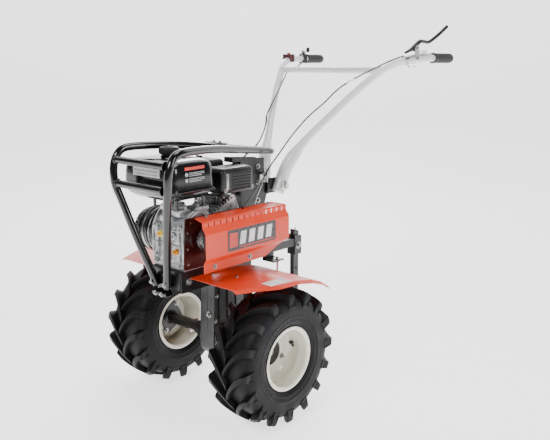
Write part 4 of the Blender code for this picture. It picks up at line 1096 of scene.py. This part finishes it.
# ---- handlebar and controls ----
HANDLE = [(46, 290, 745), (46.5, 308, 780), (48, 316, 800), (58, 329, 840), (72, 351, 880), (88, 380, 920),
    (108, 413, 960), (156, 487, 1040), (204, 567, 1120), (243, 636, 1180), (262, 668, 1203),
    (286, 708, 1224), (313, 762, 1238), (334, 826, 1246), (341, 866, 1247.6), (343, 897, 1248),
    (343, 950, 1248), (343, 1042, 1248)]
HANDLE_RADII = [1.75, 1.75, 1.75, 1.75, 1.72, 1.15] + [1.0] * 12


def eased(values, per_span):
    """One value per path point, going straight from knot to knot."""
    path = []
    for a, b in zip(values, values[1:]):
        path += [a + (b - a) * n / per_span for n in range(per_span)]
    return path + [values[-1]]


def handlebar():
    for side, sign, route in (("left", 1, HANDLE), ("right", -1, mirrored(HANDLE))):
        bm = bmesh.new()
        radii = [14.5 * r for r in eased(HANDLE_RADII, 4)]
        sweep(bm, smooth_path(route, 4), radii, 28)
        piece(side + "_handle_tube", bm, WHITE, "handlebar", replaces=side + "_handle", angle=60)
        bm = bmesh.new()
        start = 900 if sign > 0 else 933
        end = 1048 - start
        sleeve = [(0, end), (14, end), (17.8, end - 1.5), (19.2, end - 5), (19.2, 12), (20.5, 9), (21, 4),
            (20.3, 0.5), (15, 0)]
        lathe(bm, sleeve, (sign * 343, start, 1248), Y, 48, capped=False)
        for n in range(int((end - 24) / 6.2)):
            y = start + 14 + 6.2 * n
            ring(bm, [(18.8, -1.2), (19.8, -0.6), (19.8, 0.6), (18.8, 1.2)], (sign * 343, y, 1248), Y, 40)
        piece(side + "_grip_sleeve", bm, GRIP, "handlebar", replaces=side + "_grip", angle=45)
    bm = bmesh.new()
    reach = 262.5
    sweep(bm, [(-reach + 2 * reach * n / 16, 659, 1200) for n in range(17)], 12.5, 24)
    for sign in (1, -1):
        ring(bm, [(12, 0), (15, 0), (16.5, 6), (12, 6)], (sign * 245, 659, 1200), X * sign, 28)
    piece("cross_tube", bm, WHITE, "handlebar", replaces="handle_crossbar", angle=60)
    bm = bmesh.new()
    for sign in (1, -1):
        ring(bm, [(6.6, 0), (19, 0), (19, 2.2), (17.8, 3), (6.6, 3)], (sign * 70.5, 304, 770), X * sign,
            36)
    piece("pivot_washers", bm, ZINC, "handlebar")


CLUTCH = [(326, 722, 1268), (326, 756, 1279), (326, 790, 1295), (326, 826, 1312), (329, 855, 1312),
    (334, 885, 1312), (339, 945, 1340), (342, 1008, 1374)]


def clutch():
    bm = bmesh.new()
    spine = [p for p in smooth_path(HANDLE, 8) if 735 < p.y < 872]
    across = [(b - a).normalized().cross(Z) for a, b in zip(spine, spine[1:])]
    loft(bm, [[p + s * w + Z * h for w, h in ((-11, 15), (11, 15), (11, 18.5), (-11, 18.5))] for p, s in
        zip(spine, across)])
    for y in (756, 796):
        near = min(spine, key=lambda p: abs(p.y - y))
        along = (spine[spine.index(near) + 1] - near).normalized()
        sweep(bm, [near + along * (-8 + 4 * n) for n in range(5)], 16.8, 28)
    prism(bm, [(772, 1252), (812, 1252), (802, 1294), (794, 1296.5), (786, 1296.5), (780, 1292)], 334.5,
        337.8, "X")
    sweep(bm, [(317, 790, 1283), (325, 790, 1283), (334.5, 790, 1283)], 3, 16)
    piece("clutch_mount", bm, ZINC, "handlebar", replaces="clutch_bracket", bevel=0.6)
    bm = bmesh.new()
    path = smooth_path(CLUTCH, 5)
    sizes = eased([7.5, 10, 11.5, 11, 9, 8, 7.8, 7.6], 5)
    flat = eased([0.6, 0.6, 0.62, 0.68, 0.78, 0.85, 0.88, 0.88], 5)
    sweep(bm, path, sizes, 20, flat, pi / 20)
    tip = path[-1]
    lathe(bm, [(0, -7), (4.5, -5.5), (7.2, -1), (7.2, 2), (4.5, 6.2), (0, 7.5)], tip, path[-1] - path[-2],
        24)
    ring(bm, [(3.4, -7), (9.5, -7), (10, -6), (10, 6), (9.5, 7), (3.4, 7)], (326, 790, 1283), X, 32)
    piece("clutch_lever_blade", bm, SATIN, "clutch", slot="black_plastic", replaces="clutch_lever", angle=50)
    bm = bmesh.new()
    hex_bolt(bm, (336, 790, 1283), X, 10, 5)
    hex_bolt(bm, (316.5, 790, 1283), -X, 10, 5)
    for y in (756, 796):
        sweep(bm, [(324, y, 1219), (324, y, 1214), (324, y, 1211)], 3, 12)
        hex_bolt(bm, (324, y, 1217.8), -Z, 8.5, 5)
    spring(bm, (342, 815, 1271), (342, 850, 1273), 4.8, 0.8, 8)
    piece("clutch_spring", bm, ZINC, "handlebar")


def throttle():
    bm = bmesh.new()
    outline = [(-351, 904), (-349, 900), (-342, 897), (-335, 900), (-333, 904), (-335.5, 947), (-338, 952),
        (-346, 952), (-348.5, 947)]
    prism(bm, outline, 1278.2, 1280.8, "Z")
    lathe(bm, [(7, 0), (8.2, 3), (8.4, 14), (7, 19), (4, 21.2), (0, 21.6)], (-342, 945, 1279), Z, 28)
    piece("throttle_blade", bm, PLASTIC, "throttle", replaces="throttle_lever", angle=45, bevel=0.5)
    bm = bmesh.new()
    hex_bolt(bm, (-342, 910, 1280.9), Z, 9, 4.5)
    piece("throttle_pivot_nut", bm, ZINC, "throttle")
    bm = bmesh.new()
    for x in (-352, -334):
        hex_bolt(bm, (x, 911, 1229), -Z, 7, 4)
    sweep(bm, smooth_path([(-342, 896, 1276), (-334, 888, 1272), (-324, 886, 1262)], 5), 1.2, 8)
    piece("throttle_screws", bm, ZINC, "handlebar")


CLUTCH_CABLE = [(322, 715, 1255), (316, 655, 1242), (298, 585, 1218), (260, 477, 1172), (230, 420, 1135),
    (200, 375, 1086), (160, 325, 1031), (120, 280, 962), (85, 250, 896), (62, 232, 855), (58, 205, 820),
    (95, 120, 786), (123, 50, 760), (127, 16, 745), (127, 12, 733), (127, 8, 702)]
THROTTLE_CABLE = [(-320, 895, 1248), (-313, 835, 1212), (-297, 790, 1206), (-262, 700, 1186),
    (-234, 656, 1171), (-193, 584, 1140), (-164, 535, 1118), (-144, 442, 1029), (-120, 404, 986),
    (-106, 368, 947), (-92, 320, 912), (-83, 240, 874), (-78, 160, 820), (-72, 110, 772), (-69, 50, 757),
    (-68.5, 10, 756), (-68.5, -5, 756.5)]


def cables():
    wire = [(-318, 760, 1240), (-302, 730, 1215)]
    wire += [(x + 10, y - 6, z + 8) for x, y, z in THROTTLE_CABLE[3:13]] + [(-64, 100, 760)]
    for name, route, thick, replaced, start, end in (("clutch_line", CLUTCH_CABLE, 2.9, "clutch_cable", (62,
            232, 855), (230, 420, 1135)), ("throttle_line", THROTTLE_CABLE, 2.9, "throttle_cable", (-83,
            240, 874), (-164, 535, 1118)), ("stop_wire", wire, 1.8, "", (-73, 234, 882), (-154, 529,
            1126))):
        bm = bmesh.new()
        sweep(bm, smooth_path(route, 6), thick, 14)
        line = piece(name, bm, CABLE, None, replaces=replaced, angle=60, ride=False)
        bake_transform(line)
    bm = bmesh.new()
    line = [p for p in smooth_path(CLUTCH_CABLE, 6) if 438 < p.y < 480]
    sweep(bm, line, 4.8, 16)
    for end in (line[0], line[-1]):
        sweep(bm, [end + (line[1] - line[0]) * 0.16 * n for n in (-1, 0, 1)], 6.8, 6)
    piece("cable_barrel", bm, ZINC, "handlebar")
    bm = bmesh.new()
    for x in (44, 58):
        lathe(bm, [(3, -30), (3, 26)], (x - 6, 222.5, 821.5), Z, 14)
        hex_bolt(bm, (x - 6, 222.5, 823.6), Z, 9.5, 5)
        hex_bolt(bm, (x - 6, 222.5, 819.8), -Z, 9.5, 5)
    spring(bm, (38, 222.5, 790), (38, 222.5, 815), 5, 0.9, 7)
    sweep(bm, smooth_path([(38, 222, 800), (45, 200, 778), (56, 166, 748), (70, 136, 720)], 6), 1.2, 8)
    piece("cable_adjusters", bm, ZINC)


def main():
    camera()
    studio()
    dress_nodes()
    wheels()
    gearbox()
    belt_drive()
    cover()
    bumper()
    bed_and_column()
    fenders()
    engine_block()
    blower()
    tank()
    muffler()
    intake()
    handlebar()
    clutch()
    throttle()
    cables()


main()
